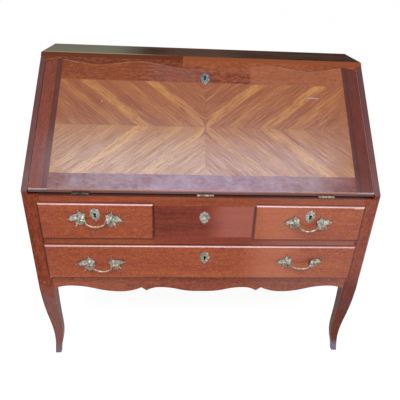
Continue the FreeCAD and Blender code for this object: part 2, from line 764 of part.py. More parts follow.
def stay_bar():
    """Right slotted bar, drawn along the line from its pivot through the stud."""
    pivot, stud = stay_points()[:2]
    closed, opened = stay_reach()
    tail = opened + STUD_R + STAY_TAIL
    half = STAY_WIDTH / 2
    bar = Part.makeBox(tail - half, STAY_WIDTH, STAY_THICK, Vec(0, -half, 0))
    bar = bar.fuse(Part.makeCylinder(STAY_HEAD_R, STAY_THICK))
    bar = bar.fuse(Part.makeCylinder(half, STAY_THICK, Vec(tail - half, 0, 0)))
    slot_r = STUD_R + STUD_PLAY
    slot = Part.makeBox(opened - closed, 2 * slot_r, STAY_THICK, Vec(closed, -slot_r, 0))
    for end in (closed, opened):
        slot = slot.fuse(Part.makeCylinder(slot_r, STAY_THICK, Vec(end, 0, 0)))
    bore = Part.makeCylinder(STAY_PIN_R + PIN_FIT, STAY_THICK)
    bar = bar.cut(slot).cut(bore).removeSplitter()
    along_y = Vec(0, stud[0] - pivot[0], stud[1] - pivot[1]).normalize()
    across = Vec(1, 0, 0).cross(along_y)
    frame = FreeCAD.Matrix(
        along_y.x, across.x, 1, STAY_X[0],
        along_y.y, across.y, 0, pivot[0],
        along_y.z, across.z, 0, pivot[1],
        0, 0, 0, 1)
    return bar.transformGeometry(frame)


def stay_stud():
    """Right stud on the side panel, with a head that keeps the bar on."""
    y, z = stay_points()[1]
    head_x = STAY_X[0] - STAY_GAP
    shank = rod_x(y, z, STUD_R, (head_x, INSIDE_X))
    head = rod_x(y, z, STUD_HEAD_R, (head_x - STUD_HEAD, head_x))
    collar = rod_x(y, z, STUD_HEAD_R, (STAY_X[1] + STAY_GAP, INSIDE_X))
    return shank.fuse(head).fuse(collar)


def stay_bracket():
    """Right bracket on the lid, with the pin that the bar swings on."""
    ear_x = (STAY_X[0] - STAY_GAP - EAR_THICK, STAY_X[0] - STAY_GAP)
    foot_s = (STAY_PIVOT_S - BRACKET_HALF, STAY_PIVOT_S + BRACKET_HALF)
    foot_x = (ear_x[0] - BRACKET_FOOT, ear_x[1])
    foot = box(foot_x, foot_s, (-LID_THICK - EAR_THICK, -LID_THICK))
    ear_s = (STAY_PIVOT_S - EAR_HALF, STAY_PIVOT_S + EAR_HALF)
    ear = box(ear_x, ear_s, (STAY_PIVOT_N - EAR_DROP, -LID_THICK))
    bracket = on_lid(foot.fuse(ear))
    y, z = stay_points()[0]
    pin = rod_x(y, z, STAY_PIN_R, (ear_x[0], STAY_X[1] + STAY_PIN_END))
    return bracket.fuse(pin)


def lock_case():
    """Lock box on the inside of the lid, open towards the wood, slotted for its bolt."""
    deep = -LID_THICK - LOCK_DEEP
    wall = LOCK_WALL
    shell = box((-LOCK_HALF_X, LOCK_HALF_X), LOCK_S, (deep, -LID_THICK))
    hollow = box((-LOCK_HALF_X + wall, LOCK_HALF_X - wall),
                 (LOCK_S[0] + wall, LOCK_S[1] - wall), (deep + wall, -LID_THICK + 1))
    slot_half = BOLT_HALF_X + BOLT_FIT
    slot = box((-slot_half, slot_half), (LOCK_S[1] - 2 * wall, LOCK_S[1] + 1),
               (BOLT_N[0] - BOLT_FIT, BOLT_N[1] + BOLT_FIT))
    return on_lid(shell.cut(hollow).cut(slot))


def lock_bolt():
    """Bolt that shoots up behind the fixed rail."""
    return on_lid(box((-BOLT_HALF_X, BOLT_HALF_X), (BOLT_LOW_S, LOCK_S[1] + BOLT_SHOW), BOLT_N))


def lipped_front(x, z, keyhole):
    """Drawer front: a proud rounded lip and a plug that enters the opening."""
    lip = box(x, (FRONT_FACE_Y, -LIP_GAP), z)
    lip = rounded(lip, LIP_ROUND, lambda e: near(e.CenterOfMass.y, FRONT_FACE_Y))
    inset = LIP_OVERLAP + BOX_CLEAR
    plug = box((x[0] + inset, x[1] - inset), (-LIP_GAP, PLUG_BACK_Y), (z[0] + inset, z[1] - inset))
    bore_y = (FRONT_FACE_Y - 1, PLUG_BACK_Y - KEYHOLE_BACKING)
    bore = rod_y(keyhole[0], keyhole[1], KEYHOLE_R, bore_y)
    return lip.fuse(plug).cut(bore)


def drawer_box(x, z):
    """Two sides, a back and a bottom behind a drawer front."""
    inner_x = (x[0] + BOX_SIDE, x[1] - BOX_SIDE)
    y = (PLUG_BACK_Y, BOX_BACK_Y)
    back_y = (BOX_BACK_Y - BOX_BACK, BOX_BACK_Y)
    bottom_z = (z[0] + BOTTOM_RAISE, z[0] + BOTTOM_RAISE + BOX_BOTTOM)
    return [
        box((x[0], inner_x[0]), y, z),
        box((inner_x[1], x[1]), y, z),
        box(inner_x, back_y, z),
        box(inner_x, (PLUG_BACK_Y, back_y[0]), bottom_z),
    ]


def box_limits(open_x, open_z):
    """Outer limits of a drawer box in its opening."""
    x = (open_x[0] + BOX_CLEAR + RUN_GAP, open_x[1] - BOX_CLEAR - RUN_GAP)
    z = (open_z[0] + 2 * RUN_GAP, open_z[1] - BOX_CLEAR)
    return x, z


def lobed_plate(x, z, y_face, keyhole):
    """Rhombic lobed escutcheon standing on an upright face."""
    plate = lobed_flat(keyhole)
    plate.rotate(Vec(0, 0, 0), Vec(1, 0, 0), 90)
    plate.translate(Vec(x, y_face, z))
    return plate


def lobed_flat(keyhole):
    """Rhombic lobed escutcheon lying flat, optionally pierced."""
    points = []
    for step in range(LOBE_POINTS):
        turn = 2 * math.pi * step / LOBE_POINTS
        power = LOBE_POWER_TOP if turn < math.pi else LOBE_POWER_FOOT
        spread = abs(math.cos(turn)) ** power + abs(math.sin(turn)) ** power
        reach = spread ** (-1 / power) * (1 + LOBE_SWELL * math.cos(LOBE_COUNT * turn))
        points.append(Vec(ESCUTCHEON_HALF[0] * reach * math.cos(turn),
                          ESCUTCHEON_HALF[1] * reach * math.sin(turn), 0))
    curve = Part.BSplineCurve()
    curve.interpolate(points, PeriodicFlag=True)
    plate = Part.Face(Part.Wire(curve.toShape())).extrude(Vec(0, 0, ESCUTCHEON_THICK))
    if not keyhole:
        return plate
    slot = box((-KEYHOLE_R / 2, KEYHOLE_R / 2), (-KEYHOLE_LONG, 0), (-1, ESCUTCHEON_THICK + 1))
    ring = Part.makeCylinder(KEYHOLE_R, ESCUTCHEON_THICK + 2, Vec(0, 0, -1))
    return plate.cut(ring.fuse(slot))


def lid_escutcheon():
    """Pierced escutcheon on the lid."""
    plate = lobed_flat(True)
    plate.translate(Vec(0, LID_ESCUTCHEON_S, 0))
    return on_lid(plate)


def leaf_outline():
    """Leaf that carries one end of a bail: tips and hollows as arcs, outwards and up from its post."""
    inner, inner_tip, top_tip, fork = (-8.0, -8.0), (-8.0, 17.0), (6.0, 34.0), (9.0, 19.0)
    outer_tip, hollow, bead_tip, foot = (42.0, 2.0), (22.0, -6.0), (18.0, -20.0), (4.5, -24.0)
    return [
        [inner, (-10.5, 4.0), inner_tip],
        [inner_tip, (0.0, 22.5), top_tip],
        [top_tip, (10.5, 27.0), fork],
        [fork, (28.0, 16.5), outer_tip],
        [outer_tip, (32.0, 0.5), hollow],
        [hollow, (16.0, -12.5), bead_tip],
        [bead_tip, (11.0, -23.5), foot],
        [foot, (-5.0, -19.0), inner],
    ]


def leaf_plates(x, z):
    """Pair of leaf plates with the posts that carry a bail."""
    face_y = FRONT_FACE_Y
    axis_y = face_y - BAIL_AXIS_OUT
    plates = []
    for side in (-1, 1):
        post_x = x + side * BAIL_SPAN / 2
        plate = closed_board(
            leaf_outline(), lambda p: Vec(post_x + side * p[0], face_y, z + p[1]),
            Vec(0, -LEAF_PLATE, 0))
        post = rod_y(post_x, z, POST_R, (axis_y - POST_R, face_y))
        bore = rod_x(axis_y, z, BAIL_R + PIN_FIT, (post_x - POST_R - 1, post_x + POST_R + 1))
        plates.append(plate.fuse(post).cut(bore))
    return plates


def bail_path():
    """Half of the bow's centre line (u sideways, v downwards) as lines and arcs."""
    end = BAIL_SPAN / 2 + POST_R + BAIL_TAIL
    inner = BAIL_SPAN / 2 - POST_R - BAIL_BEND
    corner = BAIL_CORNER
    sag = BAIL_DROP - BAIL_BEND - corner
    side = inner - corner
    reach = (side * side + sag * sag) / (2 * sag)
    lean = math.acos(side / reach)
    diag = BAIL_BEND * math.sqrt(0.5)
    bend_u = inner + BAIL_BEND

    def corner_point(turn):
        return side + corner * math.cos(turn), BAIL_BEND + corner * math.sin(turn)

    def bottom_point(turn):
        radius = reach + corner
        return radius * math.cos(turn), BAIL_DROP - radius * (1 - math.sin(turn))

    middle = (lean + math.pi / 2) / 2
    return [
        [(0.0, BAIL_DROP), bottom_point(middle), corner_point(lean)],
        [corner_point(lean), corner_point(lean / 2), (inner, BAIL_BEND)],
        [(inner, BAIL_BEND), (bend_u - diag, BAIL_BEND - diag), (bend_u, 0.0)],
        [(bend_u, 0.0), (end, 0.0)],
    ]


def bail(x, z):
    """Drop handle: a bow hanging between two posts, its ends turned outwards."""
    axis_y = FRONT_FACE_Y - BAIL_AXIS_OUT
    tilt = math.asin((BAIL_REACH - BAIL_AXIS_OUT) / BAIL_DROP)

    def place(p):
        return Vec(x + p[0], axis_y - p[1] * math.sin(tilt), z - p[1] * math.cos(tilt))

    path = Part.Wire(outline_edges(mirrored_chain(bail_path()), place))
    start = place((-BAIL_SPAN / 2 - POST_R - BAIL_TAIL, 0.0))
    ring = Part.Wire(Part.makeCircle(BAIL_R, start, Vec(1, 0, 0)))
    return path.makePipeShell([ring], True, True)


def export(name, shapes):
    """Write one node, a single solid or a group of separate ones."""
    solids = shapes if isinstance(shapes, list) else [shapes]
    group = solids[0] if len(solids) == 1 else Part.makeCompound(solids)
    placed = group.copy()
    placed.translate(Vec(0, Y_SHIFT, 0))
    placed.exportStep("parts/" + name + ".step")


def build_case():
    """Frame, panels and inside of the case."""
    right_front = corner_post(POST_TOP_Z)
    right_rear = rear_post()
    right_side = side_panel()
    export("right_front_post", right_front)
    export("left_front_post", mirrored(right_front))
    export("right_rear_post", right_rear)
    export("left_rear_post", mirrored(right_rear))
    export("right_side_panel", right_side)
    export("left_side_panel", mirrored(right_side))
    export("top_board", top_board())
    export("back_panel", back_panel())
    export("top_front_rail", top_front_rail())
    export("upper_front_rail", upper_front_rail())
    export("middle_front_rail", middle_front_rail())
    export("centre_front_panel", centre_front_panel())
    export("front_apron", front_apron())
    export("dust_board", dust_board())
    export("well_walls", well_walls())
    export("drawer_runners", drawer_runners())
    export("writing_bed", writing_bed())
    export("secret_slide", secret_slide())
    export("pigeonhole_uprights", pigeonhole_uprights())
    export("pigeonhole_shelves", pigeonhole_shelves())
    export("centre_escutcheon", lobed_plate(0.0, CENTRE_ESCUTCHEON_Z, 0.0, False))
    names = ("far_left", "left", None, "right", "far_right")
    for name, bay in zip(names, bay_limits()):
        if name:
            export("inner_drawer_" + name, inner_drawer(bay))


def build_lid():
    """Lid, hinges, stays and lock."""
    blank = lid_blank()
    right_stile = lid_stile(blank)
    export("lid_right_stile", right_stile)
    export("lid_left_stile", mirrored(right_stile))
    export("lid_top_rail", lid_top_rail(blank))
    export("lid_bottom_rail", lid_bottom_rail(blank))
    export("lid_panel", lid_panel())
    export("lid_parquetry", lid_parquetry())
    export("writing_leather", writing_leather())
    export("case_hinge_leaves", [hinge_leaf(x, True) for x in HINGE_X])
    export("lid_hinge_leaves", [hinge_leaf(x, False) for x in HINGE_X])
    export("hinge_pins", [hinge_pin(x) for x in HINGE_X])
    right_stay = stay_bar()
    export("right_stay", right_stay)
    export("left_stay", mirrored(right_stay))
    export("stay_studs", both_sides(stay_stud()))
    export("stay_brackets", both_sides(stay_bracket()))
    export("lid_lock_case", lock_case())
    export("lid_lock_bolt", lock_bolt())
    export("lid_escutcheon", lid_escutcheon())


def build_small_drawer(name, side, handle):
    """One of the two small drawers with its brass."""
    lip_x = sorted(side * x for x in SMALL_LIP_X)
    open_x = sorted(side * x for x in SMALL_OPEN_X)
    box_x, box_z = box_limits(open_x, SMALL_OPEN_Z)
    keyhole = (side * SMALL_KEYHOLE_X, SMALL_ESCUTCHEON_Z)
    export(name + "_drawer_front", lipped_front(lip_x, SMALL_LIP_Z, keyhole))
    export(name + "_drawer_box", drawer_box(box_x, box_z))
    export(name + "_drawer_leaf_plates", leaf_plates(*handle))
    export(name + "_drawer_escutcheon", lobed_plate(*keyhole, FRONT_FACE_Y, True))
    export(name + "_drawer_bail", bail(*handle))


def build_long_drawer():
    """The long drawer with its two handles."""
    lip_x = (-SMALL_LIP_X[1], SMALL_LIP_X[1])
    open_x = (-SMALL_OPEN_X[1], SMALL_OPEN_X[1])
    box_x, box_z = box_limits(open_x, LONG_OPEN_Z)
    keyhole = (0.0, LONG_ESCUTCHEON_Z)
    export("long_drawer_front", lipped_front(lip_x, LONG_LIP_Z, keyhole))
    export("long_drawer_box", drawer_box(box_x, box_z))
    export("long_drawer_leaf_plates", leaf_plates(*LONG_LEFT_HANDLE) + leaf_plates(*LONG_RIGHT_HANDLE))
    export("long_drawer_escutcheon", lobed_plate(*keyhole, FRONT_FACE_Y, True))
    export("long_drawer_left_bail", bail(*LONG_LEFT_HANDLE))
    export("long_drawer_right_bail", bail(*LONG_RIGHT_HANDLE))


build_case()
build_lid()
build_small_drawer("left", -1, LEFT_HANDLE)
build_small_drawer("right", 1, RIGHT_HANDLE)
build_long_drawer()
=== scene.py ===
"""Looks of a slant-front desk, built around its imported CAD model."""

import logging
import math
from dataclasses import dataclass
from enum import Enum
from functools import lru_cache
from typing import Sequence

import bmesh
import bpy
from mathutils import Matrix, Vector


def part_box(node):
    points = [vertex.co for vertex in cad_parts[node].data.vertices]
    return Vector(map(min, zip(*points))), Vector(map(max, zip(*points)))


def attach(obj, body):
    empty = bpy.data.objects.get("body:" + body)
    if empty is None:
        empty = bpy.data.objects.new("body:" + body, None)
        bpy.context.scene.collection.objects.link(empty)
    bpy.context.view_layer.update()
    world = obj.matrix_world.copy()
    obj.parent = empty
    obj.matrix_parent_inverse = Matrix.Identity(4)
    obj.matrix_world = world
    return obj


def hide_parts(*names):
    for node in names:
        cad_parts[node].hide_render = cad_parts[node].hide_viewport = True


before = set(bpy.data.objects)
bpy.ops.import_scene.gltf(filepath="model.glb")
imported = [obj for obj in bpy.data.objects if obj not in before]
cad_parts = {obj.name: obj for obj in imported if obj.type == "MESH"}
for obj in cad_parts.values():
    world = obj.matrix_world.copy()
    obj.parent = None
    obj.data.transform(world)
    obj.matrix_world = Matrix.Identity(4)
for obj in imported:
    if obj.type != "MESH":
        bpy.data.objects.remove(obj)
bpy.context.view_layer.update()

LOG = logging.getLogger("slant_front_desk")
MM = 0.001

# Strength of every bump, and how fine the ragged edges of marks are
BUMP_STRENGTH = 0.6
RAGGED_FINENESS = 70.0

# Places that several pieces share, in metres in the row frame
FRONT_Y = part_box("upper_front_rail")[0].y
BACK_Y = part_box("back_panel")[1].y
DRAWER_PROUD = 6.5 * MM
DRAWER_FACE_Y = FRONT_Y - DRAWER_PROUD
SLANT_FOOT_Z = 675.0 * MM
SLANT_RISE = 325.0 * MM
SLANT_RUN = 359.7 * MM
SLOPE = math.atan2(SLANT_RISE, SLANT_RUN)
LID_THICK = 18.0 * MM
PANEL_HALF = 461.3 * MM
PANEL_LOW_S = 58.0 * MM
PANEL_HIGH_S = 383.0 * MM
PANEL_MIDDLE_S = (PANEL_LOW_S + PANEL_HIGH_S) / 2

# Kinds of values
Colour = tuple[float, float, float]
Place = tuple[float, float, float]
Pair = tuple[float, float]
Window = tuple[float, float]  # low and high end
Spot = tuple[Vector, float, Vector]  # outer point, how hollow it is there, inner point under it
Aim = tuple[Vector, Vector]  # point and the direction that it looks in


def shade(red: int, green: int, blue: int) -> Colour:
    """Turn a colour as a screen shows it, 0 to 255, into the linear one that shaders take."""
    levels = [level / 255 for level in (red, green, blue)]
    return tuple(((c + 0.055) / 1.055) ** 2.4 if c > 0.04 else c / 12.92 for c in levels)


# Tones that several finishes share
PALE_SPECK = shade(214, 156, 126)
# Near black of the painted shade in keyholes
KEYHOLE_SHADE = shade(14, 12, 10)
PURPLE_BLOOM = shade(136, 60, 50)
# Painted shadow for the gaps round the drawers and under the lid's nose
PAINTED_SHADOW = shade(52, 22, 18)
# Painted highlight on the drawers' lips and the lid's nose
EDGE_HIGHLIGHT = shade(230, 190, 186)


def lid_point(x: float, s: float, n: float) -> Vector:
    """Place a point of the lid.

    Args:
        x: Distance to the right of the middle.
        s: Distance up the slope from its foot.
        n: Distance outwards from the slanted plane.

    Returns:
        The point in the row frame.
    """
    y = FRONT_Y + s * math.cos(SLOPE) - n * math.sin(SLOPE)
    z = SLANT_FOOT_Z + s * math.sin(SLOPE) + n * math.cos(SLOPE)
    return Vector((x, y, z))


def lid_inwards() -> Vector:
    """Give the direction that the inner face of the lid looks in."""
    return Vector((0.0, math.sin(SLOPE), -math.cos(SLOPE)))


class Ground(Enum):
    """Coordinates that a pattern is laid out in."""

    CASE = "x, y, z of the row frame"
    LID = "x across, y up the slope, z outwards"


class Grain(Enum):
    """Axis of the ground that the fibres of a board follow."""

    ACROSS = 0
    DEEP = 1
    UPRIGHT = 2


class Value:
    """One output of a node, which takes part in written-out maths."""

    def __init__(self, graph: "Graph", socket: bpy.types.NodeSocket | None) -> None:
        """Keep the socket and the graph that it belongs to."""
        self.graph = graph
        self.socket = socket

    def maths(self, operation: str, *values: "Value | float") -> "Value":
        """Add one Math node.

        Args:
            operation: Name of the operation.
            values: Its operands, in order.

        Returns:
            The output of the node.
        """
        return self.graph.add("ShaderNodeMath", {"operation": operation}, dict(enumerate(values)))

    def __add__(self, other: "Value | float") -> "Value":
        """Add a value or number."""
        return self.maths("ADD", self, other)

    __radd__ = __add__

    def __sub__(self, other: "Value | float") -> "Value":
        """Take a value or number away."""
        return self.maths("SUBTRACT", self, other)

    def __rsub__(self, other: "Value | float") -> "Value":
        """Take this value away from a number."""
        return self.maths("SUBTRACT", other, self)

    def __mul__(self, other: "Value | float") -> "Value":
        """Multiply by a value or number."""
        return self.maths("MULTIPLY", self, other)

    __rmul__ = __mul__

    def __truediv__(self, other: "Value | float") -> "Value":
        """Divide by a value or number."""
        return self.maths("DIVIDE", self, other)

    def __abs__(self) -> "Value":
        """Drop the sign."""
        return self.maths("ABSOLUTE", self)

    def least(self, other: "Value | float") -> "Value":
        """Take the smaller of two values."""
        return self.maths("MINIMUM", self, other)

    def most(self, other: "Value | float") -> "Value":
        """Take the larger of two values."""
        return self.maths("MAXIMUM", self, other)

    def smooth(self, low: float, high: float) -> "Value":
        """Rise softly from 0 to 1 between two values.

        Args:
            low: Where the rise starts.
            high: Where it ends.

        Returns:
            The eased value, kept between 0 and 1.
        """
        return self.graph.add(
            "ShaderNodeMapRange", {"interpolation_type": "SMOOTHSTEP"}, {0: self, 1: low, 2: high})

    def fall(self, low: float, high: float) -> "Value":
        """Fall softly from 1 to 0 between two values."""
        return 1 - self.smooth(low, high)

    def bump_at(self, middle: float, half: float) -> "Value":
        """Give 1 at a value, falling softly to 0 at half to both sides."""
        return abs(self - middle).fall(half * 0.45, half)


class Graph:
    """A node tree that is filled by calls, from its inputs to its output."""

    def __init__(self, tree: bpy.types.NodeTree) -> None:
        """Empty a tree and take it over."""
        self.tree = tree
        self.tree.nodes.clear()

    def add(
        self,
        kind: str,
        settings: dict | None = None,
        sockets: dict | None = None,
        output: int | str = 0,
    ) -> Value:
        """Add any node.

        Args:
            kind: Type of the node.
            settings: Its own settings, set first.
            sockets: Values or links of its inputs, by name or number.
            output: The output that is wanted.

        Returns:
            That output.
        """
        node = self.tree.nodes.new(kind)
        for name, setting in (settings or {}).items():
            setattr(node, name, setting)
        for key, given in (sockets or {}).items():
            socket = node.inputs[key]
            if isinstance(given, Value):
                self.tree.links.new(given.socket, socket)
            elif socket.type == "RGBA":
                socket.default_value = (*given, 1.0)
            else:
                socket.default_value = given
        return Value(self, node.outputs[output] if node.outputs else None)

    def ground(self, ground: Ground) -> Value:
        """Give the coordinates that a pattern is laid out in.

        Args:
            ground: The wanted coordinates.

        Returns:
            Them as a vector.
        """
        place = self.add("ShaderNodeTexCoord", output="Object")
        if ground is Ground.CASE:
            return place
        level = FRONT_Y * math.cos(SLOPE) + SLANT_FOOT_Z * math.sin(SLOPE)
        out = SLANT_FOOT_Z * math.cos(SLOPE) - FRONT_Y * math.sin(SLOPE)
        move = {0: place, "Location": (0, -level, -out), "Rotation": (-SLOPE, 0, 0)}
        return self.add("ShaderNodeMapping", {}, move)

    def split(self, place: Value) -> list[Value]:
        """Give the three parts of a vector."""
        node = self.add("ShaderNodeSeparateXYZ", {}, {0: place}).socket.node
        return [Value(self, socket) for socket in node.outputs]

    def noise(self, place: Value, scale: float, detail: float = 2.0, rough: float = 0.5) -> Value:
        """Add a noise.

        Args:
            place: Coordinates that it follows.
            scale: How fine it is.
            detail: Number of finer layers.
            rough: Share of the finer layers.

        Returns:
            Its value, about 0.5 in the middle.
        """
        sockets = {"Vector": place, "Scale": scale, "Detail": detail, "Roughness": rough}
        return self.add("ShaderNodeTexNoise", {}, sockets)

    def fibres(
        self, place: Value, grain: Grain, fineness: Pair, detail: float = 2.0, rough: float = 0.5
    ) -> Value:
        """Add a noise that is drawn out along the fibres of a board.

        Args:
            place: Coordinates that it follows.
            grain: Axis of the fibres.
            fineness: How fine it is along the fibres and across them.
            detail: Number of finer layers.
            rough: Share of the finer layers.

        Returns:
            Its value, about 0.5 in the middle.
        """
        along, across = fineness
        scale = [along if axis == grain.value else across for axis in range(3)]
        drawn = self.add("ShaderNodeMapping", {}, {0: place, "Scale": scale})
        return self.noise(drawn, 1.0, detail, rough)

    def wander(self, place: Value, scale: float, reach: float) -> Value:
        """Push coordinates about softly, so that lines aren't dead straight.

        Args:
            place: The coordinates.
            scale: How fine the wandering is.
            reach: How far it goes.

        Returns:
            The pushed coordinates.
        """
        push = self.add("ShaderNodeTexNoise", {}, {"Vector": place, "Scale": scale}, "Color")
        return self.add(
            "ShaderNodeVectorMath", {"operation": "MULTIPLY_ADD"}, {0: push, 1: (reach,) * 3, 2: place})

    def layers(self, colour: Value | Colour, *coats: tuple[Value | float, Colour]) -> Value:
        """Lay tones over a colour, one after the other.

        Args:
            colour: Colour at the bottom.
            coats: Share and tone of each layer, in order.

        Returns:
            The colour that shows.
        """
        for share, tone in coats:
            colour = self.add("ShaderNodeMix", {"data_type": "RGBA"}, {0: share, 6: colour, 7: tone}, 2)
        return colour

    def background_rays(self) -> Value:
        """Find the rays that see the white background: from the eye, off a gloss or through glass.

        Returns:
            1 for these rays, 0 for others.
        """
        rays = self.add("ShaderNodeLightPath").socket.node.outputs
        seen = Value(self, rays["Is Camera Ray"])
        for kind in ("Is Glossy Ray", "Is Transmission Ray"):
            seen = seen.most(Value(self, rays[kind]))
        return seen

    def surface(self, varying: dict, height: Value, depth: float, fixed: dict) -> None:
        """Close the tree with one shader.

        Args:
            varying: What changes over the surface, by socket name.
            height: Relief for the bump.
            depth: Its depth in metres.
            fixed: Numbers that are the same all over, by socket name.
        """
        relief = {"Strength": BUMP_STRENGTH, "Distance": depth, "Height": height}
        bump = self.add("ShaderNodeBump", {}, relief)
        shader = self.add("ShaderNodeBsdfPrincipled", {}, {**fixed, **varying, "Normal": bump})
        self.add("ShaderNodeOutputMaterial", {}, {0: shader})


class Skin:
    """A finish, which paints itself into the graph of a material."""

    name: str

    def paint(self, graph: Graph) -> None:
        """Fill the graph of the material."""
        raise NotImplementedError

    def material(self) -> bpy.types.Material:
        """Make the material.

        Returns:
            The painted material.
        """
        material = bpy.data.materials.new(self.name)
        material.use_nodes = True
        self.paint(Graph(material.node_tree))
        return material


@dataclass(frozen=True)
class Patch:
    """A soft-edged window in the ground."""

    x: Window | None = None
    y: Window | None = None
    z: Window | None = None
    ground: Ground = Ground.CASE
    share: float = 1.0
    soft: float | Place = 1.0 * MM
    ragged: float = 0.0

    def mask(self, graph: Graph) -> Value:
        """Give the share of the patch at every place.

        Args:
            graph: Graph of the material.

        Returns:
            The share, 0 outside the windows.
        """
        place = graph.ground(self.ground)
        if self.ragged:
            place = graph.wander(place, RAGGED_FINENESS, self.ragged)
        mask: Value | float = self.share
        softness = self.soft if isinstance(self.soft, tuple) else (self.soft,) * 3
        for part, window, soft in zip(graph.split(place), (self.x, self.y, self.z), softness):
            if window:
                low = window[0] + self.ragged / 2
                high = window[1] + self.ragged / 2
                mask = part.smooth(low - soft, low + soft) * part.fall(high - soft, high + soft) * mask
        return mask


@dataclass(frozen=True)
class Mark(Patch):
    """A length of another tone, a stain, a scratch, a chip, or a painted highlight, sheen, reflection
    or shadow.
    """

    tone: Colour = (0.0, 0.0, 0.0)

    def coat(self, graph: Graph) -> tuple[Value, Colour]:
        """Give the share and tone of the mark as a layer."""
        return self.mask(graph), self.tone


@dataclass(frozen=True)
class WaveLine(Mark):
    """A thin pale line of painted highlight along the wavy joint between the lid and the fixed rail."""

    half: float = 2.4 * MM
    flat_x: float = 83.0 * MM
    step_x: float = 133.0 * MM
    middle_s: float = 449.0 * MM
    swing: float = 9.0 * MM

    def mask(self, graph: Graph) -> Value:
        """Give the share of the line at every place.

        Args:
            graph: Graph of the material.

        Returns:
            The share, 0 away from the joint.
        """
        x, s, _ = graph.split(graph.ground(Ground.LID))
        turn = (abs(x) - self.flat_x).most(0.0) * (math.pi / self.step_x)
        joint = self.middle_s - turn.maths("COSINE", turn) * self.swing
        return super().mask(graph) * abs(s - joint).fall(self.half * 0.6, self.half)


@dataclass(frozen=True)
class PolishedWood(Skin):
    """Solid or veneered wood under old polish."""

    name: str
    deep: Colour
    body: Colour
    warm: Colour
    bloom: Colour
    grain: Grain = Grain.ACROSS
    ground: Ground = Ground.CASE
    streak: float = 1.0
    figure: float = 0.6
    flecks: float = 0.25
    specks: float = 0.35
    through: float = 0.0
    roughness: float = 0.42
    coat: float = 0.35
    coat_roughness: float = 0.3
    specular: float = 0.4
    coat_ior: float = 1.5
    marks: tuple[Mark, ...] = ()
    gleams: tuple[Patch, ...] = ()
    matt: Patch | None = None
    figure_fineness: Pair = (1.6, 17.0)
    streak_fineness: Pair = (5.0, 130.0)
    fleck_fineness: Pair = (60.0, 130.0)
    pore_fineness: Pair = (55.0, 1000.0)
    mottle_fineness: float = 16.0
    dust_fineness: float = 330.0
    bend_fineness: float = 4.0
    bend_reach: float = 30.0 * MM
    bloom_share: float = 0.4
    pore_share: float = 0.5
    relief: float = 0.25 * MM

    def paint(self, graph: Graph) -> None:
        """Paint streaks, figure, flecks, pores, bloom, specks, marks and glossy edges.

        Args:
            graph: Graph of the material.
        """
        place = graph.ground(self.ground)
        bent = graph.wander(place, self.bend_fineness, self.bend_reach)
        figure = graph.fibres(bent, self.grain, self.figure_fineness, 4.0, 0.6)
        streaks = graph.fibres(bent, self.grain, self.streak_fineness, 4.0, 0.62)
        pores = graph.fibres(bent, self.grain, self.pore_fineness)
        fleck = graph.fibres(bent, self.grain, self.fleck_fineness, 3.0, 0.6)
        mottle = graph.noise(place, self.mottle_fineness, 4.0, 0.6)
        dust = graph.noise(place, self.dust_fineness, 2.0, 0.6)
        colour = graph.layers(
            self.body,
            (streaks.fall(0.3, 0.66) * self.streak, self.deep),
            (figure.smooth(0.42, 0.72) * self.figure, self.warm),
            (fleck.smooth(0.5, 0.7) * self.flecks, self.warm),
            (fleck.fall(0.3, 0.48) * self.flecks, self.deep),
            (mottle.smooth(0.48, 0.74) * self.bloom_share, self.bloom),
            (pores.fall(0.3, 0.43) * self.pore_share, self.deep),
            (dust.fall(0.28, 0.44) * self.specks, self.deep),
            (dust.smooth(0.56, 0.72) * self.specks, PALE_SPECK),
            *(mark.coat(graph) for mark in self.marks))
        if self.through:
            colour = graph.layers(
                colour,
                (fleck.fall(0.34, 0.52) * self.through, self.deep),
                (fleck.smooth(0.5, 0.66) * self.through, self.warm))
        roughness = (mottle - 0.5) * 0.2 + (0.5 - streaks) * 0.1 + self.roughness
        broken = (dust - 0.5) * 1.5 + (fleck - 0.5) * 1.2
        coat = (mottle * 2.0 + broken) * self.coat
        for gleam in self.gleams:
            coat = coat.most(gleam.mask(graph))
        if self.matt:
            coat = coat * (1 - self.matt.mask(graph))
        varying = {"Base Color": colour, "Roughness": roughness, "Coat Weight": coat}
        fixed = {
            "Coat Roughness": self.coat_roughness, "Coat IOR": self.coat_ior,
            "Specular IOR Level": self.specular}
        graph.surface(varying, pores * 0.6 + streaks * 0.4, self.relief, fixed)


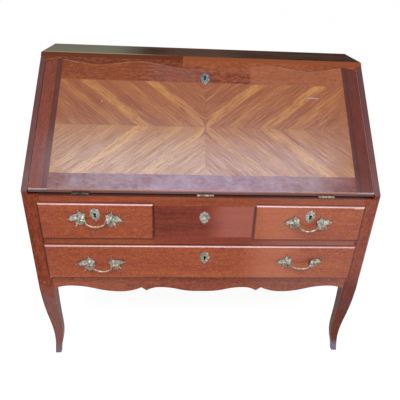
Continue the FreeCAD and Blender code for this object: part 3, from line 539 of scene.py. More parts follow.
@dataclass(frozen=True)
class StripedVeneer(Skin):
    """Striped veneer in four quarters, each the mirror image of its neighbours."""

    name: str
    red: Colour
    brown: Colour
    gold: Colour
    sand: Colour
    fine: Colour
    glue: Colour
    butterfly: Colour
    tilt: float = math.radians(40.5)
    inlay_reach: float = 40.0 * MM
    bands: tuple[tuple[float, float, float], ...] = (
        (-0.178, 0.016, 0.35), (-0.122, 0.02, 0.85), (-0.048, 0.014, 0.3), (0.010, 0.018, 0.75))
    band_shift: float = 3.0 * MM
    marks: tuple[Mark, ...] = ()
    strip_fineness: Pair = (1.6, 60.0)
    line_fineness: Pair = (14.0, 360.0)
    pore_fineness: Pair = (70.0, 1200.0)
    patch_fineness: float = 11.0
    bend_fineness: float = 7.0
    bend_reach: float = 6.0 * MM
    slip_lower: float = 4.0 * MM
    slip_right: float = 3.0 * MM
    roughness: float = 0.4
    coat_roughness: float = 0.2
    coat_ior: float = 1.6
    specular: float = 0.25
    relief: float = 0.2 * MM

    def inlay(self, x: Value, rise: Value) -> Value:
        """Give the shape of the inlaid butterfly with its forked ends.

        Args:
            x: Distance across from the middle.
            rise: Distance up from the middle.

        Returns:
            1 inside the butterfly, 0 outside.
        """
        far = abs(rise)
        side = far * far * 12.0 + far * 0.06 + 0.0016 - abs(x)
        end = (abs(x) * 0.75 + 0.024).least(self.inlay_reach) - far
        return side.smooth(-0.0008, 0.0008) * end.smooth(-0.0008, 0.0008)

    def paint(self, graph: Graph) -> None:
        """Paint strips, gold bands, fine lines, joints and the inlaid butterfly.

        Args:
            graph: Graph of the material.
        """
        place = graph.ground(Ground.LID)
        x, s, _ = graph.split(place)
        rise = s - PANEL_MIDDLE_S
        lower = rise.fall(-0.0005, 0.0005)
        right = x.smooth(-0.0005, 0.0005)
        along = abs(x) * math.cos(self.tilt) + abs(rise) * math.sin(self.tilt)
        over = abs(rise) * math.cos(self.tilt) - abs(x) * math.sin(self.tilt)
        slip = lower * self.slip_lower + right * self.slip_right
        strips = graph.add("ShaderNodeCombineXYZ", {}, {0: along, 1: over + slip, 2: slip * 4.0})
        strips = graph.wander(strips, self.bend_fineness, self.bend_reach)
        over = graph.split(strips)[1]
        broad = graph.fibres(strips, Grain.ACROSS, self.strip_fineness)
        lines = graph.fibres(strips, Grain.ACROSS, self.line_fineness, 3.0, 0.65)
        pores = graph.fibres(strips, Grain.ACROSS, self.pore_fineness)
        patchy = graph.noise(place, self.patch_fineness, 3.0)
        patches = patchy.smooth(0.2, 0.6)
        # Paler towards the bottom, most in the lower left quarter: partly the veneer's own tone, partly
        # painted sheen
        lower_pale_and_sheen = rise.fall(-0.15, 0.05) * 0.08 + lower * (1 - right * 0.8) * 0.2
        joint = abs(x).least(abs(rise)).fall(0.0003, 0.0009)
        colour = graph.layers(
            self.red,
            (broad.smooth(0.32, 0.68), self.brown),
            *((over.bump_at(middle + self.band_shift, half) * (patches * share), self.gold)
              for middle, half, share in self.bands),
            (lines.fall(0.36, 0.52) * 0.7, self.fine),
            (lines.smooth(0.52, 0.66) * 0.4, self.gold),
            (lower_pale_and_sheen, self.sand),
            (pores.fall(0.32, 0.46) * 0.8, self.fine),
            (joint * 0.25, self.glue),
            (self.inlay(x, rise) * 0.75, self.butterfly),
            *(mark.coat(graph) for mark in self.marks))
        roughness = (patchy - 0.5) * 0.2 + self.roughness
        coat = (0.68 - rise.smooth(-0.1, 0.16) * 0.4) * (lines * 3.4 - 0.7)
        fixed = {
            "Coat Roughness": self.coat_roughness, "Coat IOR": self.coat_ior,
            "Specular IOR Level": self.specular}
        varying = {"Base Color": colour, "Roughness": roughness, "Coat Weight": coat}
        graph.surface(varying, lines * 0.6 + pores * 0.4, self.relief, fixed)


@dataclass(frozen=True)
class PlainWood(Skin):
    """Bare boards of the inside and back."""

    name: str
    dark: Colour
    body: Colour
    pale: Colour
    grain: Grain = Grain.ACROSS
    ring_fineness: Pair = (1.2, 42.0)
    pore_fineness: Pair = (38.0, 760.0)
    ray_fineness: Pair = (160.0, 60.0)
    dirt_fineness: float = 6.0
    bend_fineness: float = 3.0
    bend_reach: float = 50.0 * MM
    roughness: float = 0.72
    specular: float = 0.3
    relief: float = 0.4 * MM

    def paint(self, graph: Graph) -> None:
        """Paint rings, pores, rays and dirt.

        Args:
            graph: Graph of the material.
        """
        place = graph.ground(Ground.CASE)
        bent = graph.wander(place, self.bend_fineness, self.bend_reach)
        rings = graph.fibres(bent, self.grain, self.ring_fineness, 4.0, 0.65)
        pores = graph.fibres(bent, self.grain, self.pore_fineness, 3.0)
        rays = graph.fibres(place, self.grain, self.ray_fineness)
        dirt = graph.noise(place, self.dirt_fineness, 4.0, 0.6)
        colour = graph.layers(
            self.dark,
            (rings.smooth(0.3, 0.7), self.body),
            (rays.smooth(0.6, 0.7) * 0.35, self.pale),
            (pores.fall(0.34, 0.46) * 0.6, self.dark),
            (dirt.smooth(0.5, 0.8) * 0.4, self.dark))
        roughness = (0.5 - pores) * 0.15 + self.roughness
        varying = {"Base Color": colour, "Roughness": roughness}
        fixed = {"Specular IOR Level": self.specular}
        graph.surface(varying, pores * 0.7 + rings * 0.3, self.relief, fixed)


@dataclass(frozen=True)
class AgedMetal(Skin):
    """Cast or sheet metal, dull in its hollows and rubbed bright on its high places."""

    name: str
    bright: Colour
    dull: Colour
    hollow: Colour
    roughness: float = 0.34
    darkened: Patch | None = None
    tarnish_fineness: float = 120.0
    cloud_fineness: float = 32.0
    grit_fineness: float = 260.0
    pit_fineness: float = 900.0
    specular: float = 0.4
    relief: float = 0.15 * MM

    def paint(self, graph: Graph) -> None:
        """Paint tarnish, rubbed places and dirt, also where a mesh says it is hollow, and painted shade
        where it is hollowest, on the sheets in keyholes.

        Args:
            graph: Graph of the material.
        """
        place = graph.ground(Ground.CASE)
        dirt = graph.add("ShaderNodeAttribute", {"attribute_name": "hollow"}, {}, "Fac")
        if self.darkened:
            dirt = dirt.most(self.darkened.mask(graph))
        tarnish = graph.noise(place, self.tarnish_fineness, 4.0, 0.6)
        cloud = graph.noise(place, self.cloud_fineness, 3.0)
        grit = graph.noise(place, self.grit_fineness, 2.0, 0.6)
        pits = graph.noise(place, self.pit_fineness, 2.0)
        worn = tarnish.smooth(0.36, 0.66) * cloud.smooth(0.25, 0.6)
        colour = graph.layers(
            self.dull,
            (worn, self.bright),
            (grit.fall(0.36, 0.52) * 0.55, self.hollow),
            (dirt.smooth(0.15, 0.9), self.hollow),
            # near black where the hollow value is 1, as on the keyholes' sheets: painted shade
            (dirt.smooth(0.8, 1.0), KEYHOLE_SHADE))
        metal = 0.8 - dirt.smooth(0.4, 1.0) * 0.65
        roughness = (1 - worn) * 0.16 + dirt * 0.3 + self.roughness
        varying = {"Base Color": colour, "Metallic": metal, "Roughness": roughness}
        fixed = {"Specular IOR Level": self.specular}
        graph.surface(varying, pits * 0.5 + tarnish * 0.5, self.relief, fixed)


@dataclass(frozen=True)
class ToolLeather(Skin):
    """Writing leather with a gilt line pressed round it."""

    name: str
    body: Colour
    worn: Colour
    gilt: Colour
    margin: float = 10.0 * MM
    lines: tuple[Pair, ...] = ((0.010, 0.0009), (0.0345, 0.0009), (0.0375, 0.0005))
    pebble_fineness: float = 620.0
    rub_fineness: float = 9.0
    roughness: float = 0.55
    specular: float = 0.4
    relief: float = 0.25 * MM

    def paint(self, graph: Graph) -> None:
        """Paint pebbled skin, rubbed middle and the gilt lines.

        Args:
            graph: Graph of the material.
        """
        place = graph.ground(Ground.LID)
        x, s, _ = graph.split(place)
        side = PANEL_HALF - self.margin - abs(x)
        end = (PANEL_HIGH_S - PANEL_LOW_S) / 2 - self.margin - abs(s - PANEL_MIDDLE_S)
        edge = side.least(end)
        pebbles = {"Vector": place, "Scale": self.pebble_fineness}
        cells = graph.add("ShaderNodeTexVoronoi", {}, pebbles)
        rubbed = graph.noise(place, self.rub_fineness, 4.0, 0.6)
        gilt, *others = (edge.bump_at(middle, half) for middle, half in self.lines)
        for line in others:
            gilt = gilt.most(line)
        gilt = gilt * rubbed.smooth(0.25, 0.45)
        colour = graph.layers(
            self.body,
            (rubbed.smooth(0.45, 0.75) * 0.6, self.worn),
            (cells.smooth(0.5, 0.9) * 0.3, self.worn),
            (gilt * 0.9, self.gilt))
        roughness = self.roughness - gilt * 0.2 + (rubbed - 0.5) * 0.2
        varying = {"Base Color": colour, "Metallic": gilt * 0.8, "Roughness": roughness}
        graph.surface(varying, cells - gilt * 0.8, self.relief, {"Specular IOR Level": self.specular})


# Wood that several boards share
RED_BROWN = {"deep": shade(112, 40, 22), "body": shade(148, 66, 34), "warm": shade(168, 86, 44)}
INSIDE_WOOD = {
    "deep": shade(96, 44, 26), "body": shade(140, 72, 42), "warm": shade(164, 94, 58),
    "bloom": shade(136, 80, 60), "roughness": 0.5, "coat": 0.15, "specks": 0.1}

# Edges of the drawers on the front, and reach of the glossy strip and of the painted highlight round
# their lips
SMALL_LIP_Z = 636.0 * MM
SMALL_FOOT_Z = 514.0 * MM
LONG_LIP_Z = 487.0 * MM
LONG_FOOT_Z = 361.0 * MM
CENTRE_HALF = 156.0 * MM
LIP_HALF = 493.0 * MM
LIP_GLOSS = 3.5 * MM
LIP_HIGHLIGHT_BELOW = 3.0 * MM
LIP_HIGHLIGHT_ABOVE = 2.0 * MM

# Windows in height: the feet and the middle rail
FOOT_Z = (-0.1, 0.035)
MIDDLE_RAIL_Z = (0.4, 0.52)

# Windows up the slope (s) and outwards (n): the lid's nose, the slanted edges and the top's front edge
NOSE_S = (-0.03, 0.008)
NOSE_GLOSS_S = (-0.03, 0.0095)
NOSE_UNDER_N = (-0.03, -0.0034)
NOSE_FACE_N = (-0.0026, 0.02)
SLANT_EDGE_N = (-0.004, 0.02)
TOP_ARRIS_N = (-0.0085, -0.0007)
TOP_EDGE_N = (-0.0007, 0.02)

# Splice in the rail under the top and in the top's front edge
SPLICE_X = -0.073

# Marks and sheens that several finishes share
WINDOW_SHEEN = Patch(x=(0.16, 0.8), y=(-0.4, FRONT_Y + 6 * MM), soft=(0.1, 1 * MM, 1 * MM), share=0.6)
# Painted highlight along the wavy joint, stronger on the left
JOINT_HIGHLIGHT = (
    WaveLine(x=(-0.49, -0.1), soft=60 * MM, share=0.4, tone=shade(206, 150, 92)),
    WaveLine(x=(0.0, 0.49), soft=20 * MM, share=0.25, tone=shade(206, 150, 110)))
LOW_SHEEN = (
    Patch(x=(-0.6, 0.0), y=(-0.05, 0.2), ground=Ground.LID, soft=0.12, share=0.7),
    Patch(x=(0.0, 0.6), y=(-0.05, 0.06), ground=Ground.LID, soft=0.08, share=0.6))


def painted_shadow_line(share: float = 0.7, x: Window | None = None, z: Window | None = None) -> Mark:
    """Make a dark line of painted shadow in a corner, beside a drawer's lip or under the lid's nose.

    Args:
        share: How dark it is.
        x: Its window across.
        z: Its window in height.

    Returns:
        The mark.
    """
    return Mark(x=x, z=z, share=share, soft=1.4 * MM, ragged=1.5 * MM, tone=PAINTED_SHADOW)


def both_sides(share: float, low: float, high: float, z: Window) -> tuple[Mark, Mark]:
    """Make the same dark line of painted shadow left and right of the middle.

    Args:
        share: How dark it is.
        low: Its inner edge from the middle.
        high: Its outer edge from the middle.
        z: Its window in height.

    Returns:
        Both marks.
    """
    return painted_shadow_line(share, (low, high), z), painted_shadow_line(share, (-high, -low), z)


def tint(
    low: float, high: float, share: float, tone: Colour, soft: float = 1 * MM, ragged: float = 0.0
) -> Mark:
    """Make a length of a board in another tone, which some finishes use for the board's own tone and
    some for painted light and shade.

    Args:
        low: Its left end.
        high: Its right end.
        share: How strong it is.
        tone: Its colour.
        soft: How far its ends fade.
        ragged: How far its ends wander.

    Returns:
        The mark.
    """
    return Mark(x=(low, high), share=share, soft=soft, ragged=ragged, tone=tone)


def chip(x: Window, z: Window, tone: Colour, share: float = 0.8, ragged: float = 3 * MM) -> Mark:
    """Make a small place on the front where the polish is knocked off.

    Args:
        x: Its window across.
        z: Its window in height.
        tone: Its colour.
        share: How strong it is.
        ragged: How far its edges wander.

    Returns:
        The mark.
    """
    return Mark(x=x, z=z, share=share, ragged=ragged, tone=tone)


def lid_mark(share: float, tone: Colour, **fields: Window | Place | float) -> Mark:
    """Make a mark that is laid out on the slope, with the other fields of a mark by name."""
    return Mark(ground=Ground.LID, share=share, tone=tone, **fields)


def stain(x: float, s: float, half: float = 2.2 * MM, tone: Colour = shade(64, 36, 28)) -> Mark:
    """Make a small spot on the lid.

    Args:
        x: Its place across.
        s: Its place up the slope.
        half: Half its size.
        tone: Its colour.

    Returns:
        The mark.
    """
    return lid_mark(0.75, tone, x=(x - half, x + half), y=(s - half, s + half), ragged=3 * MM)


def lid_wood(
    name: str, grain: Grain, marks: Sequence[Mark], gleams: Sequence[Patch] = (), coat: float = 0.74,
    through: float = 0.0,
) -> PolishedWood:
    """Make the finish of one length of the lid's frame.

    Args:
        name: Name of the finish.
        grain: Axis of its fibres on the lid.
        marks: Lengths of other tones on it.
        gleams: Edges that shine.
        coat: Share of the polish that shines all over.
        through: Share of the grain that shows through the marks.

    Returns:
        The finish.
    """
    return PolishedWood(
        name, shade(86, 34, 20), shade(132, 60, 32), shade(156, 82, 44), shade(116, 52, 42),
        grain=grain, ground=Ground.LID, coat=coat, coat_roughness=0.2, coat_ior=1.6, specular=0.08,
        flecks=0.6, specks=0.5, through=through, marks=tuple(marks), gleams=tuple(gleams))


class Finish(Enum):
    """Every finish of the desk."""

    POST = PolishedWood(
        "post_mahogany", shade(96, 32, 16), shade(144, 56, 26), shade(164, 76, 36), PURPLE_BLOOM,
        grain=Grain.UPRIGHT, through=0.3, coat=0.1, specular=0.1, gleams=(WINDOW_SHEEN,),
        matt=Patch(z=(-0.2, 0.34), soft=50 * MM, share=0.65),
        marks=(
            # painted shadow beside the drawers' lips
            *both_sides(0.65, LIP_HALF - 2 * MM, LIP_HALF + 4.5 * MM, (LONG_FOOT_Z, SMALL_LIP_Z)),
            # painted sheen: the left leg painted paler and greyer
            Mark(x=(-0.6, 0.0), z=(-0.1, 0.3), share=0.6, soft=60 * MM, ragged=30 * MM,
                 tone=shade(134, 100, 94)),
            # painted shade: the right leg painted darker
            Mark(x=(0.0, 0.6), z=(-0.1, 0.36), share=0.7, soft=60 * MM, ragged=30 * MM,
                 tone=shade(86, 40, 34)),
            # painted reflection: the feet painted grey-violet, the right one bluer
            Mark(z=FOOT_Z, share=0.85, soft=25 * MM, ragged=20 * MM, tone=shade(130, 112, 124)),
            Mark(x=(0.3, 0.6), z=FOOT_Z, share=0.45, soft=25 * MM, tone=shade(136, 142, 164)),
            chip((-0.516, -0.512), (0.336, 0.34), shade(206, 160, 140)),
            Mark(x=(0.531, 0.54), y=(-0.3, FRONT_Y + 3 * MM), z=(0.34, 0.6), share=0.25, ragged=6 * MM,
                 tone=shade(214, 170, 160))))
    RAIL = PolishedWood(
        "rail_mahogany", **RED_BROWN, bloom=PURPLE_BLOOM, streak=0.7, coat=0.1, specular=0.15,
        gleams=(WINDOW_SHEEN,),
        marks=(
            Mark(x=(-CENTRE_HALF, CENTRE_HALF), z=MIDDLE_RAIL_Z, share=0.6, soft=4 * MM,
                 tone=shade(126, 48, 36)),
            # painted sheen: the middle rail paler to the right
            Mark(x=(0.2, 0.6), z=MIDDLE_RAIL_Z, share=0.35, soft=60 * MM, tone=shade(176, 112, 96)),
            # painted shadow under the lid's nose and along the drawers' lips
            painted_shadow_line(0.85, z=(0.6605, 0.68)),
            *both_sides(0.6, CENTRE_HALF, LIP_HALF, (SMALL_LIP_Z - 2 * MM, SMALL_LIP_Z + 4 * MM)),
            *both_sides(0.6, CENTRE_HALF, LIP_HALF, (SMALL_FOOT_Z - 5 * MM, SMALL_FOOT_Z + 2 * MM)),
            painted_shadow_line(0.7, z=(LONG_LIP_Z - 2 * MM, LONG_LIP_Z + 4.5 * MM))))
    SIDE = PolishedWood(
        "side_mahogany", shade(84, 31, 19), shade(126, 54, 30), shade(150, 74, 42), shade(104, 52, 44),
        grain=Grain.UPRIGHT, coat=0.1, coat_roughness=0.2, coat_ior=1.6, specular=0.15,
        gleams=(
            Patch(z=SLANT_EDGE_N, ground=Ground.LID, share=0.3),
            Patch(y=(-0.05, 0.1), z=SLANT_EDGE_N, ground=Ground.LID, soft=(1 * MM, 0.09, 1 * MM),
                  share=0.8)),
        marks=(
            lid_mark(0.8, shade(90, 44, 42), z=SLANT_EDGE_N, ragged=4 * MM),
            # painted shade: the slanted edges darker towards the top
            lid_mark(0.75, shade(42, 18, 14), y=(0.24, 0.6), z=SLANT_EDGE_N, soft=70 * MM,
                     ragged=4 * MM)))
    CENTRE = PolishedWood(
        "centre_mahogany", shade(90, 30, 20), shade(128, 50, 34), shade(148, 70, 44), PURPLE_BLOOM,
        streak=0.8, specks=0.15, coat=0.1, specular=0.12,
        gleams=(Patch(x=(0.04, 0.8), soft=60 * MM, share=0.8),),
        marks=(
            # painted sheen: paler to the right of the middle
            tint(0.03, 0.2, 0.42, shade(192, 98, 74), 40 * MM),
            # painted shadow beside the drawers' lips
            painted_shadow_line(0.75, (-CENTRE_HALF - 2 * MM, -CENTRE_HALF + 4 * MM)),
            painted_shadow_line(0.8, (CENTRE_HALF - 6 * MM, CENTRE_HALF + 2 * MM))))
    APRON = PolishedWood(
        "apron_mahogany", **RED_BROWN, bloom=PURPLE_BLOOM, streak=0.8, flecks=0.6, specks=0.6,
        through=0.3, coat=0.1, specular=0.2, gleams=(WINDOW_SHEEN,),
        marks=(
            tint(-0.6, -0.2, 0.3, shade(172, 100, 74), 60 * MM),
            tint(-0.1, 0.6, 0.25, shade(112, 46, 34), 60 * MM),
            # painted shade under the long drawer
            Mark(z=(0.342, 0.37), share=0.35, soft=8 * MM, ragged=10 * MM, tone=shade(92, 36, 28)),
            chip((0.4305, 0.4335), (0.3475, 0.3505), shade(214, 180, 160)),
            # painted shadow under the long drawer's lip
            painted_shadow_line(0.6, z=(LONG_FOOT_Z - 5 * MM, LONG_FOOT_Z + 2 * MM)),
            Mark(x=(-0.248, -0.212), z=(0.316, 0.332), share=0.5, soft=4 * MM, ragged=12 * MM,
                 tone=shade(72, 50, 46)),
            chip((-0.494, -0.489), (0.353, 0.359), shade(60, 30, 22), 0.7, 4 * MM)))
    DRAWER = PolishedWood(
        "drawer_mahogany", shade(116, 42, 22), shade(162, 73, 36), shade(186, 96, 46),
        shade(140, 52, 42), streak=0.4, specks=0.6, flecks=0.5, coat=0.1, specular=0.15,
        coat_roughness=0.14, coat_ior=1.75,
        marks=(
            # painted shadow along the sides and feet of the lips
            *both_sides(0.6, CENTRE_HALF - 2 * MM, CENTRE_HALF + 3.5 * MM, (SMALL_FOOT_Z, SMALL_LIP_Z)),
            *both_sides(0.5, LIP_HALF - 3.5 * MM, LIP_HALF + 2 * MM, (LONG_FOOT_Z, SMALL_LIP_Z)),
            *(painted_shadow_line(0.5, z=(foot - 2 * MM, foot + 3 * MM)) for foot in (SMALL_FOOT_Z, LONG_FOOT_Z)),
            # painted sheen: paler to the right of the middle
            tint(0.15, 0.3, 0.35, shade(204, 120, 84), 50 * MM),
            # painted highlight along the top of each lip
            *(Mark(z=(lip - LIP_HIGHLIGHT_BELOW, lip + LIP_HIGHLIGHT_ABOVE), share=0.5, ragged=1.5 * MM, tone=EDGE_HIGHLIGHT)
              for lip in (SMALL_LIP_Z, LONG_LIP_Z)),
            chip((-0.491, -0.487), (0.362, 0.366), shade(214, 170, 150)),
            chip((0.458, 0.488), (0.630, 0.6345), shade(214, 176, 150), ragged=5 * MM)),
        gleams=(
            *(Patch(z=(lip - LIP_GLOSS, lip + LIP_GLOSS)) for lip in (SMALL_LIP_Z, LONG_LIP_Z)),
            Patch(x=(0.16, 0.8), soft=0.1, share=0.35)))
    TOP = PolishedWood(
        "top_mahogany", shade(46, 30, 24), shade(72, 50, 42), shade(88, 62, 51), shade(80, 66, 60),
        coat=0.0, coat_roughness=0.5, specular=0.0, roughness=0.7,
        marks=(
            # painted reflection: the left part of the top painted pale grey-olive
            tint(-0.6, -0.25, 0.8, shade(132, 126, 106), 90 * MM, 60 * MM),
            tint(-0.14, 0.1, 0.4, shade(108, 80, 66), 60 * MM, 60 * MM),
            # painted highlight along the top's front arris, on the left
            lid_mark(0.6, shade(190, 164, 120), x=(-0.6, -0.16), z=TOP_ARRIS_N,
                     soft=(80 * MM, 1 * MM, 0.5 * MM)),
            lid_mark(0.95, shade(96, 47, 27), z=TOP_EDGE_N, soft=0.3 * MM),
            lid_mark(0.9, shade(138, 74, 43), x=(SPLICE_X, 0.6), z=TOP_EDGE_N, soft=0.3 * MM)))
    TOP_RAIL = lid_wood(
        "top_rail_mahogany", Grain.ACROSS, coat=0.12, through=0.4,
        marks=(
            tint(-0.6, SPLICE_X, 0.65, shade(92, 36, 17), 0.7 * MM),
            tint(SPLICE_X, 0.6, 0.6, shade(144, 74, 40), 0.7 * MM),
            tint(0.36, 0.6, 0.5, shade(124, 50, 26), 30 * MM),
            # painted highlight along the wavy joint
            *JOINT_HIGHLIGHT))
    LID_STILE = lid_wood(
        "lid_stile_mahogany", Grain.DEEP, coat=0.25,
        marks=(
            tint(-0.52, 0.52, 0.55, shade(108, 42, 30)),
            tint(0.47, 0.53, 0.65, shade(70, 17, 12)),
            tint(0.461, 0.479, 0.7, shade(66, 28, 26), 1.5 * MM, 3 * MM),
            tint(-0.479, -0.461, 0.7, shade(72, 32, 30), 1.5 * MM, 3 * MM),
            # painted highlight: pale lines along the stiles' outer arrises, low on the left
            tint(0.5135, 0.53, 0.35, shade(176, 140, 140), 0.8 * MM, 2 * MM),
            lid_mark(0.25, shade(176, 140, 140), x=(-0.53, -0.5145), y=(-0.05, 0.2), ragged=2 * MM),
            # the nose: painted shade under it over the darker end grain, and a painted highlight along
            # its face
            lid_mark(0.8, shade(40, 24, 24), y=NOSE_S, z=NOSE_UNDER_N),
            lid_mark(0.4, EDGE_HIGHLIGHT, y=NOSE_S, z=NOSE_FACE_N)),
        gleams=(Patch(y=NOSE_GLOSS_S, ground=Ground.LID), *LOW_SHEEN))
    LID_TOP_RAIL = lid_wood(
        "lid_top_rail_mahogany", Grain.ACROSS, coat=0.15, through=0.25,
        marks=(
            tint(-0.6, -0.2, 0.5, shade(126, 58, 22), 60 * MM),
            tint(0.15, 0.47, 0.55, shade(160, 94, 62), 8 * MM),
            tint(-0.16, -0.03, 0.4, shade(130, 68, 54), 20 * MM),
            # painted highlight along the wavy joint
            *JOINT_HIGHLIGHT),
        gleams=(Patch(x=(-0.2, 0.02), soft=60 * MM, share=0.4),))
    LID_BOTTOM_RAIL = lid_wood(
        "lid_bottom_rail_mahogany", Grain.ACROSS,
        marks=(
            tint(-0.6, 0.6, 0.6, shade(96, 31, 31)),
            # painted reflection: violet across the middle
            tint(-0.2, 0.2, 0.25, shade(140, 96, 132), 0.12),
            # the nose: painted shade under it and a painted highlight along its face
            lid_mark(0.6, shade(60, 30, 26), y=NOSE_S, z=NOSE_UNDER_N),
            lid_mark(0.3, shade(232, 150, 116), y=NOSE_S, z=NOSE_FACE_N, ragged=1 * MM)),
        gleams=(Patch(y=NOSE_GLOSS_S, ground=Ground.LID),))
    PARQUETRY = StripedVeneer(
        "striped_veneer", red=shade(133, 67, 29), brown=shade(146, 80, 37), gold=shade(184, 122, 58),
        sand=shade(192, 151, 94), fine=shade(110, 53, 25), glue=shade(70, 34, 22),
        butterfly=shade(124, 52, 34),
        marks=(
            stain(-0.1978, 0.1742),
            stain(-0.1465, 0.105),
            stain(-0.1225, 0.1085, 1.5 * MM),
            stain(-0.17, 0.1, 1.8 * MM),
            stain(-0.352, 0.2125, 1.8 * MM),
            stain(-0.147, 0.208, 1.8 * MM),
            stain(-0.326, 0.3045, 1.4 * MM, shade(226, 200, 176)),
            lid_mark(0.42, shade(186, 178, 184), x=(0.336, 0.372), y=(0.3338, 0.3382), ragged=8 * MM)))
    INSIDE = PolishedWood("inside_mahogany", **INSIDE_WOOD)
    INSIDE_UPRIGHT = PolishedWood("divider_mahogany", **INSIDE_WOOD, grain=Grain.DEEP)
    BOARD = PlainWood("oak_boards", shade(104, 76, 48), shade(158, 122, 82), shade(196, 166, 124))
    RUNNER = PlainWood(
        "oak_runners", shade(104, 76, 48), shade(150, 116, 78), shade(190, 160, 120), Grain.DEEP)
    BRASS = AgedMetal("cast_brass", shade(208, 202, 185), shade(153, 148, 134), shade(78, 74, 62), 0.5)
    BAIL = AgedMetal("bail_brass", shade(214, 190, 164), shade(150, 128, 106), shade(40, 30, 20), 0.3)
    SILVERED = AgedMetal(
        "silvered_brass", shade(164, 168, 165), shade(104, 108, 105), shade(13, 14, 14))
    # The left hinge is painted darker.
    HINGE = AgedMetal(
        "hinge_brass", shade(176, 158, 140), shade(104, 86, 74), shade(40, 26, 20), 0.42,
        Patch(x=(-0.45, -0.3), z=(0.6, 0.672), share=0.6))
    IRON = AgedMetal("bright_iron", shade(170, 168, 162), shade(112, 108, 102), shade(30, 28, 26), 0.38)
    GILT = AgedMetal("leather_gilt", shade(206, 160, 82), shade(150, 108, 54), shade(60, 40, 20), 0.36)
    LEATHER = ToolLeather(
        "writing_leather_skin", shade(38, 60, 44), shade(74, 88, 62), shade(196, 152, 78))

    @lru_cache(maxsize=None)
    def material(self) -> bpy.types.Material:
        """Give the one material of this finish."""
        return self.value.material()


def dress(finish: Finish, *nodes: str) -> None:
    """Give CAD nodes a finish.

    Args:
        finish: The finish.
        nodes: Names of the nodes.
    """
    for node in nodes:
        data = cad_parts[node].data
        data.materials.clear()
        data.materials.append(finish.material())
        LOG.info("node %s has finish %s", node, finish.name.lower())


def add_piece(
    name: str, data: bpy.types.Mesh, finish: Finish, body: str, nodes: Sequence[str] = ()
) -> None:
    """Make a mesh a piece of the desk.

    Args:
        name: Name of the piece.
        data: Its mesh, in place in the row frame.
        finish: Its finish.
        body: CAD body that it rides on.
        nodes: CAD nodes that it stands for.
    """
    data.materials.clear()
    data.materials.append(finish.material())
    piece = bpy.data.objects.new(name, data)
    bpy.context.scene.collection.objects.link(piece)
    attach(piece, body)
    if nodes:
        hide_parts(*nodes)
    LOG.info("piece %s rides on %s, %d faces", name, body, len(data.polygons))


class Casting:
    """Closed shells that grow into one mesh, with a note of how hollow each point is."""

    merge_under: float = 0.02 * MM
    sliver_under: float = 0.01 * MM
    sharp_over: float = math.radians(55)

    def __init__(self) -> None:
        """Start with no shell."""
        self.points: list[Vector] = []
        self.hollows: list[float] = []
        self.faces: list[tuple[int, ...]] = []

    def shell(self, rings: list[list[Spot]]) -> None:
        """Add a closed shell.

        Args:
            rings: Rings from the innermost one to the rim. Each spot of a ring is an outer point, how
                hollow it is there and the inner point under it.
        """
        rows, around = len(rings), len(rings[0])
        start = len(self.points)
        spots = [spot for ring in rings for spot in ring]
        self.points += [outer for outer, _, _ in spots] + [inner for _, _, inner in spots]
        self.hollows += [hollow for _, hollow, _ in spots] + [1.0] * len(spots)

        def at(row: int, step: int, side: int) -> int:
            """Give the number of a point, where side 0 is the outer one and side 1 the inner one."""
            return start + side * len(spots) + row * around + step % around

        for row in range(rows - 1):
            for step in range(around):
                quad = [(row, step), (row, step + 1), (row + 1, step + 1), (row + 1, step)]
                self.faces.append(tuple(at(*corner, 0) for corner in quad))
                self.faces.append(tuple(at(*corner, 1) for corner in reversed(quad)))
        for row in (0, rows - 1):
            for step in range(around):
                corners = [(step, 0), (step, 1), (step + 1, 1), (step + 1, 0)]
                self.faces.append(tuple(at(row, *corner) for corner in corners))

    def bead(self, centre: Vector, radius: float, rings: int = 10, around: int = 20) -> None:
        """Add a small ball.

        Args:
            centre: Its middle.
            radius: Its radius.
            rings: Steps from pole to pole.
            around: Points in a ring.
        """
        start = len(self.points)
        for row in range(rings + 1):
            tilt = math.pi * row / rings
            flat, level = math.sin(tilt), math.cos(tilt)
            for step in range(around):
                turn = 2 * math.pi * step / around
                unit = Vector((flat * math.cos(turn), level, flat * math.sin(turn)))
                self.points.append(centre + unit * radius)
                self.hollows.append(0.0)
        for row in range(rings):
            for step in range(around):
                a = start + row * around + step
                b = start + row * around + (step + 1) % around
                self.faces.append((a, b, b + around, a + around))

    def mesh(self, name: str) -> bpy.types.Mesh:
        """Turn the shells into a mesh with merged poles and outward normals.

        Args:
            name: Name of the mesh.

        Returns:
            The mesh, with its hollow attribute.
        """
        data = bpy.data.meshes.new(name)
        data.from_pydata(self.points, [], self.faces)
        note = data.attributes.new("hollow", "FLOAT", "POINT")
        note.data.foreach_set("value", self.hollows)
        work = bmesh.new()
        work.from_mesh(data)
        bmesh.ops.remove_doubles(work, verts=work.verts, dist=self.merge_under)
        bmesh.ops.dissolve_degenerate(work, dist=self.sliver_under, edges=work.edges)
        bmesh.ops.recalc_face_normals(work, faces=work.faces)
        work.to_mesh(data)
        work.free()
        data.shade_smooth()
        data.set_sharp_from_angle(angle=self.sharp_over)
        return data


